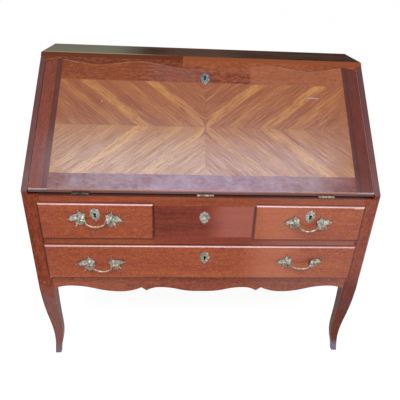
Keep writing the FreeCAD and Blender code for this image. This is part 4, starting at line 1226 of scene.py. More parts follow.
class Growth:
    """A Geometry Nodes tree with named sizes, which grows a plain mesh from a seed mesh."""

    def __init__(self, name: str) -> None:
        """Start a tree with a geometry input and output.

        Args:
            name: Name of the tree.
        """
        self.tree = bpy.data.node_groups.new(name, "GeometryNodeTree")
        self.tree.interface.new_socket("Seed", in_out="INPUT", socket_type="NodeSocketGeometry")
        self.tree.interface.new_socket("Grown", in_out="OUTPUT", socket_type="NodeSocketGeometry")
        self.graph = Graph(self.tree)
        self.entry = self.graph.add("NodeGroupInput").socket.node

    def size(self, name: str, kind: str = "NodeSocketFloat") -> Value:
        """Add a named input.

        Args:
            name: Its name.
            kind: Its socket type.

        Returns:
            Its value inside the tree.
        """
        self.tree.interface.new_socket(name, in_out="INPUT", socket_type=kind)
        return Value(self.graph, self.entry.outputs[name])

    def seed(self) -> Value:
        """Give the geometry that comes in."""
        return Value(self.graph, self.entry.outputs["Seed"])

    def end_on_points(self, head: Value) -> None:
        """Close the tree by setting a head on every point, turned by chance about its own axis.

        Args:
            head: Geometry of one head, its axis along Z.
        """
        graph = self.graph
        chance = {2: 0.0, 3: math.pi, "Seed": self.size("Seed number", "NodeSocketInt")}
        facing = graph.add(
            "GeometryNodeInputNamedAttribute", {"data_type": "FLOAT_VECTOR"}, {"Name": "facing"})
        upright = graph.add("FunctionNodeAlignRotationToVector", {"axis": "Z"}, {"Vector": facing})
        turn = graph.add("FunctionNodeRandomValue", {"data_type": "FLOAT"}, chance, 1)
        about_axis = {"Angle": turn, "Axis": (0.0, 0.0, 1.0)}
        spin = graph.add("FunctionNodeAxisAngleToRotation", {}, about_axis)
        both = {"Rotation": upright, "Rotate By": spin}
        turned = graph.add("FunctionNodeRotateRotation", {"rotation_space": "LOCAL"}, both)
        self.end_with(self.seed(), head, turned)

    def end_with(self, points: Value, head: Value, rotation: Value) -> None:
        """Close the tree with a head on every point of a geometry.

        Args:
            points: The points.
            head: Geometry of one head.
            rotation: How each is turned.
        """
        sockets = {"Points": points, "Instance": head, "Rotation": rotation}
        self.end(self.graph.add("GeometryNodeInstanceOnPoints", {}, sockets))

    def end(self, instances: Value) -> None:
        """Close the tree: real geometry with a material.

        Args:
            instances: Geometry that has grown.
        """
        skin = self.size("Finish", "NodeSocketMaterial")
        real = self.graph.add("GeometryNodeRealizeInstances", {}, {0: instances})
        done = self.graph.add("GeometryNodeSetMaterial", {}, {0: real, "Material": skin})
        self.graph.add("NodeGroupOutput", {}, {0: done})

    def grow(self, seed: bpy.types.Mesh, finish: Finish, sizes: dict) -> bpy.types.Mesh:
        """Run the tree on a seed.

        Args:
            seed: The mesh that comes in.
            finish: Finish of what grows.
            sizes: Values of the other named inputs.

        Returns:
            The grown mesh, with no modifier left.
        """
        given = {**sizes, "Finish": finish.material()}
        holder = bpy.data.objects.new(seed.name, seed)
        bpy.context.scene.collection.objects.link(holder)
        modifier = holder.modifiers.new("growth", "NODES")
        modifier.node_group = self.tree
        for item in self.tree.interface.items_tree:
            if item.in_out == "INPUT" and item.name in given:
                modifier[item.identifier] = given[item.name]
        graph = bpy.context.evaluated_depsgraph_get()
        grown = bpy.data.meshes.new_from_object(holder.evaluated_get(graph))
        holder.modifiers.remove(modifier)
        bpy.data.objects.remove(holder)
        return grown


def seed_points(name: str, places: Sequence[Aim]) -> bpy.types.Mesh:
    """Make a mesh of loose points that each look in a direction.

    Args:
        name: Name of the mesh.
        places: Points and the directions that they look in.

    Returns:
        The mesh.
    """
    data = bpy.data.meshes.new(name)
    data.from_pydata([point for point, _ in places], [], [])
    facing = data.attributes.new("facing", "FLOAT_VECTOR", "POINT")
    facing.data.foreach_set("vector", [part for _, way in places for part in way])
    return data


def seed_line(name: str, points: Sequence[Vector], closed: bool = False) -> bpy.types.Mesh:
    """Make a mesh of one line.

    Args:
        name: Name of the mesh.
        points: Its points, in order.
        closed: True if the last point is joined to the first.

    Returns:
        The mesh.
    """
    data = bpy.data.meshes.new(name)
    steps = len(points) if closed else len(points) - 1
    data.from_pydata(points, [(step, (step + 1) % len(points)) for step in range(steps)], [])
    return data


@lru_cache(maxsize=None)
def screw_tree() -> Growth:
    """Make the tree that sets a slotted screw head on every point.

    Returns:
        The tree.
    """
    growth = Growth("slotted_screws")
    graph = growth.graph
    radius, proud, slot = growth.size("Head radius"), growth.size("Proud"), growth.size("Slot width")
    cone = {"Vertices": 20, "Radius Top": radius * 0.82, "Radius Bottom": radius, "Depth": proud}
    head = graph.add("GeometryNodeMeshCone", {}, cone)
    bar = graph.add("ShaderNodeCombineXYZ", {}, {0: radius * 3.0, 1: slot, 2: proud})
    lift = graph.add("ShaderNodeCombineXYZ", {}, {2: proud})
    cutter = graph.add("GeometryNodeMeshCube", {}, {"Size": bar})
    cutter = graph.add("GeometryNodeTransform", {}, {0: cutter, "Translation": lift})
    head = graph.add("GeometryNodeMeshBoolean", {"operation": "DIFFERENCE"}, {0: head, 1: cutter})
    growth.end_on_points(head)
    return growth


@lru_cache(maxsize=None)
def pin_tree() -> Growth:
    """Make the tree that sets a domed pin head on every point.

    Returns:
        The tree.
    """
    growth = Growth("domed_pins")
    graph = growth.graph
    radius, proud = growth.size("Head radius"), growth.size("Proud")
    ball = graph.add("GeometryNodeMeshUVSphere", {}, {"Segments": 14, "Rings": 8, "Radius": radius})
    flat = graph.add("ShaderNodeCombineXYZ", {}, {0: 1.0, 1: 1.0, 2: proud / radius})
    dome = graph.add("GeometryNodeTransform", {}, {0: ball, "Scale": flat})
    growth.end_on_points(graph.add("GeometryNodeSetShadeSmooth", {}, {0: dome}))
    return growth


@lru_cache(maxsize=None)
def rod_tree() -> Growth:
    """Make the tree that sweeps a round rod along a line, thicker towards its middle.

    Returns:
        The tree.
    """
    growth = Growth("swept_rod")
    graph = growth.graph
    radius, swell = growth.size("Rod radius"), growth.size("Middle swell")
    knop, knop_at = growth.size("Knop swell"), growth.size("Knop place")
    line = graph.add("GeometryNodeMeshToCurve", {}, {0: growth.seed()})
    line = graph.add("GeometryNodeResampleCurve", {}, {0: line, "Count": 120})
    share = graph.add("GeometryNodeSplineParameter")
    off = abs(share - 0.5)
    middle = off.fall(0.0, 0.34) * swell
    ring = abs(off - knop_at).fall(0.004, 0.022) * knop
    circle = {"Resolution": 16, "Radius": radius}
    profile = graph.add("GeometryNodeCurvePrimitiveCircle", {"mode": "RADIUS"}, circle)
    sweep = {"Curve": line, "Profile Curve": profile, "Scale": middle + ring + 1.0, "Fill Caps": True}
    rod = graph.add("GeometryNodeCurveToMesh", {}, sweep)
    growth.end(graph.add("GeometryNodeSetShadeSmooth", {}, {0: rod}))
    return growth


@lru_cache(maxsize=None)
def stamp_tree() -> Growth:
    """Make the tree that presses a row of small lozenges along a line.

    Returns:
        The tree.
    """
    growth = Growth("stamped_border")
    graph = growth.graph
    pitch, size, proud = growth.size("Pitch"), growth.size("Stamp size"), growth.size("Proud")
    line = graph.add("GeometryNodeMeshToCurve", {}, {0: growth.seed()})
    line = graph.add("GeometryNodeResampleCurve", {"mode": "LENGTH"}, {0: line, "Length": pitch})
    cone = {"Vertices": 4, "Radius Top": size * 0.35, "Radius Bottom": size, "Depth": proud}
    stamp = graph.add("GeometryNodeMeshCone", {}, cone)
    shape = graph.add("ShaderNodeCombineXYZ", {}, {0: 1.0, 1: 0.55, 2: 1.0})
    stamp = graph.add("GeometryNodeTransform", {}, {0: stamp, "Scale": shape})
    tangent = graph.add("GeometryNodeInputTangent")
    facing = graph.add(
        "FunctionNodeAlignRotationToVector", {"axis": "Z"}, {"Vector": tuple(lid_inwards())})
    along = graph.add(
        "FunctionNodeAlignRotationToVector", {"axis": "X", "pivot_axis": "Z"},
        {"Rotation": facing, "Vector": tangent})
    growth.end_with(line, stamp, along)
    return growth


@dataclass(frozen=True)
class FrontSeat:
    """Where a mount sits on the front of the desk, and the side that it reaches to."""

    x: float
    y: float
    z: float
    side: int = 1
    lean: float = 0.0

    def at(self, across: float, up: float, out: float) -> Vector:
        """Turn a place on the mount into a point of the row frame.

        Args:
            across: Distance to its side, in millimetres.
            up: Distance upwards.
            out: Distance out of the wood.

        Returns:
            The point.
        """
        flat = Matrix.Rotation(math.radians(-self.lean), 2) @ Vector((across, up)) * MM
        return Vector((self.x + self.side * flat.x, self.y - out * MM, self.z + flat.y))

    def facing(self) -> Vector:
        """Give the direction that the mount looks in."""
        return Vector((0.0, -1.0, 0.0))


@dataclass(frozen=True)
class LidSeat:
    """Where a mount sits on the outside of the lid, in the middle of its width."""

    s: float

    def at(self, across: float, up: float, out: float) -> Vector:
        """Turn a place on the mount, in millimetres, into a point of the row frame."""
        return lid_point(across * MM, self.s + up * MM, out * MM)

    def facing(self) -> Vector:
        """Give the direction that the mount looks in."""
        return -lid_inwards()


@dataclass(frozen=True)
class LeafPose:
    """How one mount was set by hand: turn in degrees, shifts and broken tips in millimetres, size."""

    turn: float = 0.0
    out: float = 0.0
    up: float = 0.0
    size: float = 1.0
    broken_at: float = 99.0

    def set(self, at: Vector) -> Vector:
        """Move a place of a mount to where it was set."""
        turn = Matrix.Rotation(math.radians(self.turn), 2)
        return turn @ at * self.size + Vector((self.out, self.up))


@dataclass(frozen=True)
class Lobe:
    """A lobe of a cast leaf and the notch after it: directions in degrees, reaches in millimetres."""

    turn: float
    reach: float
    notch_turn: float
    notch_reach: float
    point: float = 0.55
    bead: float = 0.0


@dataclass(frozen=True)
class LeafMount:
    """Cast leaf that carries one end of a bail, in millimetres."""

    lobes: tuple[Lobe, ...] = (
        Lobe(-5, 38, 66, 18.5, 0.6, 1.6),
        Lobe(84, 31, 112, 21.5, 0.6, 1.2),
        Lobe(129, 25, 152, 16.5, 0.8),
        Lobe(188, 17.5, 214, 16.5, 2.0),
        Lobe(236, 20, 250, 19, 2.0),
        Lobe(264, 21.5, 283, 18, 2.0),
        Lobe(299, 24, 334, 13.5, 0.7, 1.7))
    below_axis: float = 5.0
    boss: tuple[float, float, float] = (10.5, 12.0, 13.5)
    boss_below: float = 2.5
    rim_height: float = 2.2
    ridge: float = 3.2
    curl: float = 2.0
    fold: float = 0.14
    flute: float = 0.8
    scallop: float = 0.03
    least_height: float = 1.0
    valley_dirt: float = 0.5
    flute_dirt: float = 0.4
    rim_dirt: float = 0.2
    rim_from: float = 0.94
    most_dirt: float = 0.6
    scallops: int = 30
    folds: int = 9
    rings: int = 16
    around: int = 180

    def sector(self, turn: float) -> tuple[Lobe, float, float]:
        """Find the lobe that a direction lies in.

        Args:
            turn: Direction in degrees.

        Returns:
            The lobe, the reach of its notch on that side and the share of the way to that notch.
        """
        for before, lobe in zip((self.lobes[-1], *self.lobes[:-1]), self.lobes):
            off = (turn - lobe.turn + 180) % 360 - 180
            ahead = (lobe.notch_turn - lobe.turn) % 360
            behind = (lobe.turn - before.notch_turn) % 360
            if 0 <= off <= ahead:
                return lobe, lobe.notch_reach, off / ahead
            if -behind <= off < 0:
                return lobe, before.notch_reach, -off / behind
        return self.lobes[0], self.lobes[0].notch_reach, 1.0

    def reach(self, turn: float) -> float:
        """Give the distance to the outline.

        Args:
            turn: Direction in degrees.

        Returns:
            The distance in millimetres.
        """
        lobe, notch, share = self.sector(turn)
        far = lobe.reach + (notch - lobe.reach) * share**lobe.point
        return far * (1 + self.scallop * math.cos(math.radians(self.scallops * turn)))

    def crest(self, turn: float) -> float:
        """Give how near a direction is to the middle of a lobe, 0 to 1."""
        return 1 - self.sector(turn)[2] ** 0.8

    def wave(self, share: float, turn: float) -> float:
        """Give the wave of the flutes at a place, -1 to 1."""
        return math.cos(math.radians(self.scallops * turn) + 6 * share)

    def height(self, share: float, turn: float, at: Vector) -> float:
        """Give the height over the wood.

        Args:
            share: Share of the way from the middle to the outline.
            turn: Direction in degrees.
            at: Place from the bail's end, outwards and upwards.

        Returns:
            The height in millimetres.
        """
        wide, tall, high = self.boss
        spread = (at.x / wide) ** 2 + ((at.y + self.boss_below) / tall) ** 2
        crest = self.crest(turn)
        fold = math.cos(math.radians(self.folds * turn) + 3 * share)
        boss = high * math.exp(-spread * spread) * (1 - self.fold + self.fold * fold)
        ridge = self.ridge * (crest - 0.4) * math.sin(math.pi * min(share + 0.12, 1.0))
        flute = self.flute * self.wave(share, turn) * share
        curl = self.curl * crest * share**3
        return max(self.rim_height + boss + ridge + flute + curl, self.least_height)

    def hollow(self, share: float, turn: float) -> float:
        """Give how hollow a place is: between the lobes, in the flutes and at the rim.

        Args:
            share: Share of the way from the middle to the outline.
            turn: Direction in degrees.

        Returns:
            0 for a high place, more for a hollow.
        """
        inside = math.sin(math.pi * min(share * 0.9 + 0.1, 1.0))
        valley = self.valley_dirt * (1 - self.crest(turn)) ** 3 * inside
        flute = self.flute_dirt * (0.5 - 0.5 * self.wave(share, turn)) * share
        rim = self.rim_dirt * max(share - self.rim_from, 0.0) / (1 - self.rim_from)
        return min(valley + flute + rim, self.most_dirt)

    def spot(self, share: float, turn: float, pose: LeafPose, seat: FrontSeat) -> Spot:
        """Give one spot of the leaf.

        Args:
            share: Share of the way from its middle to the outline.
            turn: Direction in degrees.
            pose: How the leaf was set.
            seat: Where the bail's end is.

        Returns:
            The outer point, how hollow it is there and the inner point.
        """
        angle = math.radians(turn)
        far = self.reach(turn)
        if self.lobes[0].notch_turn < turn < self.lobes[2].notch_turn:
            far = min(far, pose.broken_at)
        at = pose.set(Vector((math.cos(angle), math.sin(angle))) * (far * share))
        at += Vector((0.0, -self.below_axis))
        outer = seat.at(at.x, at.y, self.height(share, turn, at))
        return outer, self.hollow(share, turn), seat.at(at.x, at.y, 0.0)

    def cast(self, casting: Casting, pose: LeafPose, seat: FrontSeat) -> None:
        """Add the leaf and the beads on its tips to a casting.

        Args:
            casting: Where they go.
            pose: How the leaf was set.
            seat: Where the bail's end is.
        """
        turns = [360 * step / self.around for step in range(self.around)]
        shares = [row / self.rings for row in range(self.rings + 1)]
        casting.shell([[self.spot(share, turn, pose, seat) for turn in turns] for share in shares])
        for lobe in self.lobes:
            if lobe.bead:
                tip, _, _ = self.spot(1.0, lobe.turn, pose, seat)
                casting.bead(tip, lobe.bead * MM)


def bell(share: float, middle: float, half: float) -> float:
    """Give a soft hump that is 1 in its middle."""
    return math.exp(-(((share - middle) / half) ** 2))


@dataclass(frozen=True)
class Escutcheon:
    """Lobed shield round a keyhole, in millimetres."""

    half_width: float = 16.0
    half_height: float = 22.5
    power_top: float = 2.0
    power_foot: float = 1.45
    lobe_swell: float = 0.05
    lobes: int = 8
    pierced: bool = True
    hole_up: float = 4.0
    hole_radius: float = 4.4
    slot_half: float = 3.0
    slot_long: float = 12.0
    # Sheet of painted shade in the keyhole: its height over the wood and its rings
    shade_sheet_out: float = 0.35
    shade_sheet_shares: tuple[float, ...] = (0.0, 0.5, 1.02)
    pin_shares: Pair = (0.82, -0.8)
    pin_sunk: float = 0.2
    pin_radius: float = 1.5
    pin_proud: float = 0.9
    pin_seed: int = 3
    dome: float = 1.5
    scroll: float = 1.3
    scroll_at: Pair = (0.7, 0.13)
    flute: float = 0.45
    lip: float = 0.7
    lip_half: float = 0.12
    rim_fall: float = 0.55
    sunk: float = 0.5
    trench_dirt: float = 0.3
    trench_at: Pair = (0.45, 0.1)
    flute_dirt: float = 0.6
    rim_dirt: float = 0.6
    rim_from: float = 0.93
    most_dirt: float = 0.7
    rings: int = 14
    around: int = 112

    def reach(self, turn: float) -> float:
        """Give the outline's share of the half sizes.

        Args:
            turn: Direction.

        Returns:
            The share, about 1.
        """
        power = self.power_top if math.sin(turn) >= 0 else self.power_foot
        spread = abs(math.cos(turn)) ** power + abs(math.sin(turn)) ** power
        return spread ** (-1 / power) * (1 + self.lobe_swell * math.cos(self.lobes * turn))

    def rim(self, turn: float) -> Vector:
        """Give the point of the outline in a direction."""
        far = self.reach(turn)
        return Vector((self.half_width * far * math.cos(turn), self.half_height * far * math.sin(turn)))

    def hole(self, turn: float) -> Vector:
        """Give the point of the keyhole's edge.

        Args:
            turn: Direction from the middle of its round part.

        Returns:
            The point, or the middle where there is no keyhole.
        """
        if not self.pierced:
            return Vector((0.0, 0.0))
        across, up = math.cos(turn), math.sin(turn)
        far = self.hole_radius
        if up < 0 and self.hole_radius * abs(across) < self.slot_half:
            far = min(self.slot_half / max(abs(across), 0.001), self.slot_long / -up)
        return Vector((far * across, far * up + self.hole_up))

    def wave(self, share: float, turn: float) -> float:
        """Give the wave of the flutes at a place, -1 to 1."""
        return math.cos(2 * self.lobes * turn + 5 * share)

    def height(self, share: float, turn: float) -> float:
        """Give the height over the wood.

        Args:
            share: Share of the way from the keyhole to the rim.
            turn: Direction.

        Returns:
            The height in millimetres.
        """
        dome = self.dome + self.dome * math.cos(share * math.pi / 2)
        lobe = 0.65 + 0.35 * math.cos(self.lobes * turn)
        scroll = self.scroll * bell(share, *self.scroll_at) * lobe
        flute = self.flute * self.wave(share, turn) * share * (1 - share) * 4
        lip = self.lip * bell(share, 0.0, self.lip_half) if self.pierced else 0.0
        return dome * (1 - self.rim_fall * share**6) + scroll + flute + lip - self.sunk

    def hollow(self, share: float, turn: float) -> float:
        """Give how hollow a place is: round the dome, in the flutes and at the rim.

        Args:
            share: Share of the way from the keyhole to the rim.
            turn: Direction.

        Returns:
            0 for a high place, more for a hollow.
        """
        trench = self.trench_dirt * bell(share, *self.trench_at)
        flute = self.flute_dirt * (0.5 - 0.5 * self.wave(share, turn)) * share
        rim = self.rim_dirt * max(share - self.rim_from, 0.0) / (1 - self.rim_from)
        return min(trench + flute + rim, self.most_dirt)

    def spot(self, share: float, turn: float, seat: FrontSeat | LidSeat) -> Spot:
        """Give one spot of the shield.

        Args:
            share: Share of the way from the keyhole to the rim.
            turn: Direction.
            seat: Where the shield sits.

        Returns:
            The outer point, how hollow it is there and the inner point.
        """
        at = self.hole(turn).lerp(self.rim(turn), share)
        outer = seat.at(at.x, at.y, self.height(share, turn))
        return outer, self.hollow(share, turn), seat.at(at.x, at.y, 0.0)

    def cast(self, seat: FrontSeat | LidSeat) -> Casting:
        """Cast the shield and, in its keyhole, a black sheet of painted shade.

        Args:
            seat: Where the shield sits.

        Returns:
            The casting.
        """
        casting = Casting()
        turns = [2 * math.pi * step / self.around for step in range(self.around)]
        shares = [row / self.rings for row in range(self.rings + 1)]
        casting.shell([[self.spot(share, turn, seat) for turn in turns] for share in shares])
        # A near-black sheet in the keyhole stands for the shade in it
        if self.pierced:
            middle = Vector((0.0, self.hole_up))
            floor = []
            for share in self.shade_sheet_shares:
                ring = [middle.lerp(self.hole(turn), share) for turn in turns]
                floor.append([(seat.at(*p, self.shade_sheet_out), 1.0, seat.at(*p, 0.0)) for p in ring])
            casting.shell(floor)
        return casting

    def build(self, body: str, node: str, finish: Finish, seat: FrontSeat | LidSeat) -> None:
        """Make the shield and its two pins.

        Args:
            body: CAD body that they ride on.
            node: CAD node that the shield stands for.
            finish: Finish of the shield.
            seat: Where it sits.
        """
        data = self.cast(seat).mesh(node + "_mesh")
        add_piece(node.replace("escutcheon", "shield"), data, finish, body, [node])
        out = self.height(self.pin_shares[0], math.pi / 2) - self.pin_sunk
        heights = [share * self.half_height for share in self.pin_shares]
        places = [(seat.at(0.0, up, out), seat.facing()) for up in heights]
        sizes = {
            "Head radius": self.pin_radius * MM, "Proud": self.pin_proud * MM,
            "Seed number": self.pin_seed}
        pins = pin_tree().grow(seed_points(node + "_pin_places", places), Finish.BRASS, sizes)
        add_piece(node.replace("escutcheon", "pins"), pins, Finish.BRASS, body)


def arc(middle: Pair, radius: float, start: float, end: float, steps: int) -> list[Pair]:
    """Give points along an arc, its last one left out.

    Args:
        middle: Its middle.
        radius: Its radius.
        start: Direction of its first point.
        end: Direction of its last point.
        steps: Number of points.

    Returns:
        The points.
    """
    x, y = middle
    turns = [start + (end - start) * step / steps for step in range(steps)]
    return [(x + radius * math.cos(turn), y + radius * math.sin(turn)) for turn in turns]


@dataclass(frozen=True)
class Bail:
    """Swinging bow between two leaf mounts, in millimetres."""

    span: float = 76.0
    drop: float = 19.0
    bend: float = 5.0
    corner: float = 10.0
    post_radius: float = 4.6
    tail: float = 2.0
    axis_out: float = 13.0
    reach_out: float = 17.0
    rod_radius: float = 2.2
    lean: float = 0.0
    middle_swell: float = 0.4
    knop_swell: float = 0.15
    knop_place: float = 0.13

    def line(self) -> list[Pair]:
        """Give the middle line of the right half.

        Returns:
            Its points from the middle outwards, each sideways and downwards.
        """
        inner = self.span / 2 - self.post_radius - self.bend
        side = inner - self.corner
        sag = self.drop - self.bend - self.corner
        reach = (side**2 + sag**2) / (2 * sag)
        lean = math.acos(side / reach)
        wide = reach + self.corner
        quarter = math.pi / 2
        return [
            *arc((0.0, self.drop - wide), wide, quarter, lean, 14),
            *arc((side, self.bend), self.corner, lean, 0.0, 12),
            *arc((inner + self.bend, self.bend), self.bend, math.pi, math.pi + quarter, 8),
            (inner + self.bend, 0.0),
            (self.span / 2 + self.post_radius + self.tail, 0.0)]

    def seed(self, name: str, x: float, z: float) -> bpy.types.Mesh:
        """Make the bow's middle line as a mesh.

        Args:
            name: Name of the mesh.
            x: Middle of the handle.
            z: Height of its swing axis.

        Returns:
            The line, in the row frame.
        """
        tilt = math.asin((self.reach_out - self.axis_out) / self.drop)
        half = self.line()
        lean = Matrix.Rotation(math.radians(-self.lean), 2)
        flat = [lean @ Vector(spot) for spot in [(-u, v) for u, v in reversed(half[1:])] + half]
        axis_y = DRAWER_FACE_Y - self.axis_out * MM
        back, down = math.sin(tilt) * MM, math.cos(tilt) * MM
        return seed_line(name, [Vector((x + u * MM, axis_y - v * back, z - v * down)) for u, v in flat])


@dataclass(frozen=True)
class Handle:
    """A bail and its two leaf mounts, set a little askew by hand."""

    name: str
    x: float
    z: float
    left: LeafPose
    right: LeafPose
    bail: Bail = Bail()
    leaf: LeafMount = LeafMount()

    def leaves(self, casting: Casting) -> None:
        """Add both leaf mounts to a casting.

        Args:
            casting: Where they go.
        """
        for side, pose in ((-1, self.left), (1, self.right)):
            seat = FrontSeat(self.x + side * self.bail.span / 2 * MM, DRAWER_FACE_Y, self.z, side)
            self.leaf.cast(casting, pose, seat)

    def bow(self, body: str) -> None:
        """Make the bow as a piece.

        Args:
            body: CAD body that it swings on, which has the name of the node that it stands for.
        """
        sizes = {
            "Rod radius": self.bail.rod_radius * MM, "Middle swell": self.bail.middle_swell,
            "Knop swell": self.bail.knop_swell, "Knop place": self.bail.knop_place}
        data = rod_tree().grow(self.bail.seed(self.name + "_line", self.x, self.z), Finish.BAIL, sizes)
        add_piece(self.name + "_bow", data, Finish.BAIL, body, [body])


@dataclass(frozen=True)
class Drawer:
    """One drawer: front, box, handles and shield."""

    name: str
    key_x: float
    key_z: float
    handles: tuple[tuple[Handle, str], ...]
    lean: float = 0.0
    shield: Escutcheon = Escutcheon()

    def build(self) -> None:
        """Make the brass of the drawer."""
        leaves = Casting()
        for handle, body in self.handles:
            handle.leaves(leaves)
            handle.bow(body)
        body = self.name + "_drawer"
        plates = body + "_leaf_plates"
        data = leaves.mesh(plates + "_mesh")
        add_piece(body + "_leaf_mounts", data, Finish.BRASS, body, [plates])
        seat = FrontSeat(self.key_x, DRAWER_FACE_Y, self.key_z, lean=self.lean)
        self.shield.build(body, body + "_escutcheon", Finish.BRASS, seat)

    def dress(self) -> None:
        """Give the wood its finish."""
        dress(Finish.DRAWER, self.name + "_drawer_front")
        dress(Finish.RUNNER, self.name + "_drawer_box")


@dataclass(frozen=True)
class HingeRow:
    """Screws of the three hinges."""

    middles: tuple[float, ...] = (-366.0 * MM, 0.0, 366.0 * MM)
    steps: tuple[float, ...] = (-17.0 * MM, 0.0, 17.0 * MM)
    behind_front: float = 12.5 * MM

    def screws(self, z: float, facing: Place) -> list[Aim]:
        """List the screws of the leaves on one side.

        Args:
            z: Height that the heads sit at.
            facing: Direction that they look in.

        Returns:
            The place and direction of each screw.
        """
        y = FRONT_Y + self.behind_front
        return [(Vector((x + step, y, z)), Vector(facing)) for x in self.middles for step in self.steps]


# Screw heads: height and slot as shares of the radius, and the number that their turns are drawn from
SCREW_PROUD = 0.35
SCREW_SLOT = 0.3
SCREW_SEED = 11


def add_screws(name: str, body: str, places: Sequence[Aim], radius: float = 2.6 * MM) -> None:
    """Make a set of slotted brass screw heads.

    Args:
        name: Name of the piece.
        body: CAD body that they ride on.
        places: Where each head sits and the direction that it looks in.
        radius: Radius of a head.
    """
    sizes = {
        "Head radius": radius, "Proud": radius * SCREW_PROUD, "Slot width": radius * SCREW_SLOT,
        "Seed number": SCREW_SEED}
    data = screw_tree().grow(seed_points(name + "_places", places), Finish.HINGE, sizes)
    add_piece(name, data, Finish.HINGE, body)


@dataclass(frozen=True)
class Case:
    """Frame, panels and inside of the desk."""

    hinges: HingeRow = HingeRow()
    leaf_top_z: float = 665.0 * MM
    shield: Escutcheon = Escutcheon(pierced=False)
    shield_z: float = 589.0 * MM
    nail_rows: int = 9
    nail_from_end: float = 30.0 * MM
    nail_from_side: float = 12.0 * MM
    nail_radius: float = 3.0 * MM
    nail_proud: float = 0.8 * MM
    nail_seed: int = 5

    def dress(self) -> None:
        """Give the nodes of the case their finishes."""
        dress(Finish.POST, "left_front_post", "right_front_post", "left_rear_post", "right_rear_post")
        dress(Finish.SIDE, "left_side_panel", "right_side_panel")
        dress(Finish.RAIL, "upper_front_rail", "middle_front_rail")
        dress(Finish.CENTRE, "centre_front_panel")
        dress(Finish.APRON, "front_apron")
        dress(Finish.TOP, "top_board")
        dress(Finish.TOP_RAIL, "top_front_rail")
        dress(Finish.BOARD, "back_panel", "dust_board")
        dress(Finish.RUNNER, "drawer_runners", "well_walls")
        dress(Finish.INSIDE, "writing_bed", "secret_slide", "pigeonhole_shelves")
        dress(Finish.INSIDE_UPRIGHT, "pigeonhole_uprights")
        for bay in ("far_left", "left", "right", "far_right"):
            dress(Finish.INSIDE, "inner_drawer_" + bay)
        dress(Finish.HINGE, "case_hinge_leaves", "hinge_pins", "stay_studs", "left_stay", "right_stay")

    def build(self) -> None:
        """Make the blank shield, the hinge screws and the nails of the back."""
        seat = FrontSeat(0.0, FRONT_Y, self.shield_z)
        self.shield.build("case", "centre_escutcheon", Finish.BRASS, seat)
        add_screws("case_hinge_screws", "case", self.hinges.screws(self.leaf_top_z, (0, 0, 1)))
        low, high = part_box("back_panel")
        back = Vector((0, 1, 0))
        first, last = low.z + self.nail_from_end, high.z - self.nail_from_end
        nails = []
        for row in range(self.nail_rows):
            z = first + (last - first) * row / (self.nail_rows - 1)
            for x in (low.x + self.nail_from_side, high.x - self.nail_from_side):
                nails.append((Vector((x, BACK_Y, z)), back))
        sizes = {
            "Head radius": self.nail_radius, "Proud": self.nail_proud, "Seed number": self.nail_seed}
        data = pin_tree().grow(seed_points("back_nail_places", nails), Finish.IRON, sizes)
        add_piece("back_nails", data, Finish.IRON, "case")


@dataclass(frozen=True)
class Lid:
    """Hinged lid with its veneer, leather, lock, hinges and stay brackets."""

    key_s: float = 399.0 * MM
    lock_half: float = 29.0 * MM
    lock_s: Pair = (394.0 * MM, 432.0 * MM)
    lock_deep: float = 30.0 * MM
    bracket_x: float = 493.0 * MM
    bracket_s: Pair = (71.0 * MM, 89.0 * MM)
    bracket_deep: float = 21.0 * MM
    hinges: HingeRow = HingeRow()
    hinge_z: float = 668.5 * MM
    border_in: float = 32.5 * MM
    stamp_pitch: float = 9.0 * MM
    stamp_size: float = 3.4 * MM
    stamp_proud: float = 0.3 * MM
    shield: Escutcheon = Escutcheon()

    def dress(self) -> None:
        """Give the nodes of the lid their finishes."""
        dress(Finish.LID_STILE, "lid_left_stile", "lid_right_stile")
        dress(Finish.LID_TOP_RAIL, "lid_top_rail")
        dress(Finish.LID_BOTTOM_RAIL, "lid_bottom_rail")
        dress(Finish.PARQUETRY, "lid_parquetry")
        dress(Finish.INSIDE, "lid_panel")
        dress(Finish.LEATHER, "writing_leather")
        dress(Finish.HINGE, "lid_hinge_leaves", "stay_brackets", "lid_lock_case")
        dress(Finish.IRON, "lid_lock_bolt")

    def build(self) -> None:
        """Make the shield, the screws and the stamped border of the leather."""
        self.shield.build("lid", "lid_escutcheon", Finish.SILVERED, LidSeat(self.key_s))
        lock = (self.lock_half, self.lock_s, self.lock_deep)
        brackets = (self.bracket_x, self.bracket_s, self.bracket_deep)
        screws = [
            (lid_point(x, s, -deep), lid_inwards())
            for half, rows, deep in (lock, brackets) for x in (-half, half) for s in rows]
        add_screws("lid_screws", "lid", screws + self.hinges.screws(self.hinge_z, (0, 0, -1)))
        self.stamp_border()

    def stamp_border(self) -> None:
        """Make the gilt row of stamps round the leather."""
        x = PANEL_HALF - self.border_in
        low, high = PANEL_LOW_S + self.border_in, PANEL_HIGH_S - self.border_in
        corners = [(-x, low), (x, low), (x, high), (-x, high)]
        points = [lid_point(*corner, -LID_THICK) for corner in corners]
        sizes = {
            "Pitch": self.stamp_pitch, "Stamp size": self.stamp_size, "Proud": self.stamp_proud}
        grown = stamp_tree().grow(seed_line("border_line", points, closed=True), Finish.GILT, sizes)
        add_piece("leather_stamps", grown, Finish.GILT, "lid")


@dataclass(frozen=True)
class PaleFloor(Skin):
    """Matte floor that stays white to the eye and keeps the shadow."""

    name: str = "pale_floor"
    white: float = 0.82
    glow: float = 1.28
    glow_share: float = 0.72

    def paint(self, graph: Graph) -> None:
        """Mix a glow into the matte floor for the rays that see the background.

        Args:
            graph: Graph of the material.
        """
        matte = graph.add("ShaderNodeBsdfDiffuse", {}, {"Color": (self.white,) * 3})
        glow = graph.add("ShaderNodeEmission", {}, {"Color": (1.0, 1.0, 1.0), "Strength": self.glow})
        share = graph.background_rays() * self.glow_share
        mixed = graph.add("ShaderNodeMixShader", {}, {0: share, 1: matte, 2: glow})
        graph.add("ShaderNodeOutputMaterial", {}, {0: mixed})


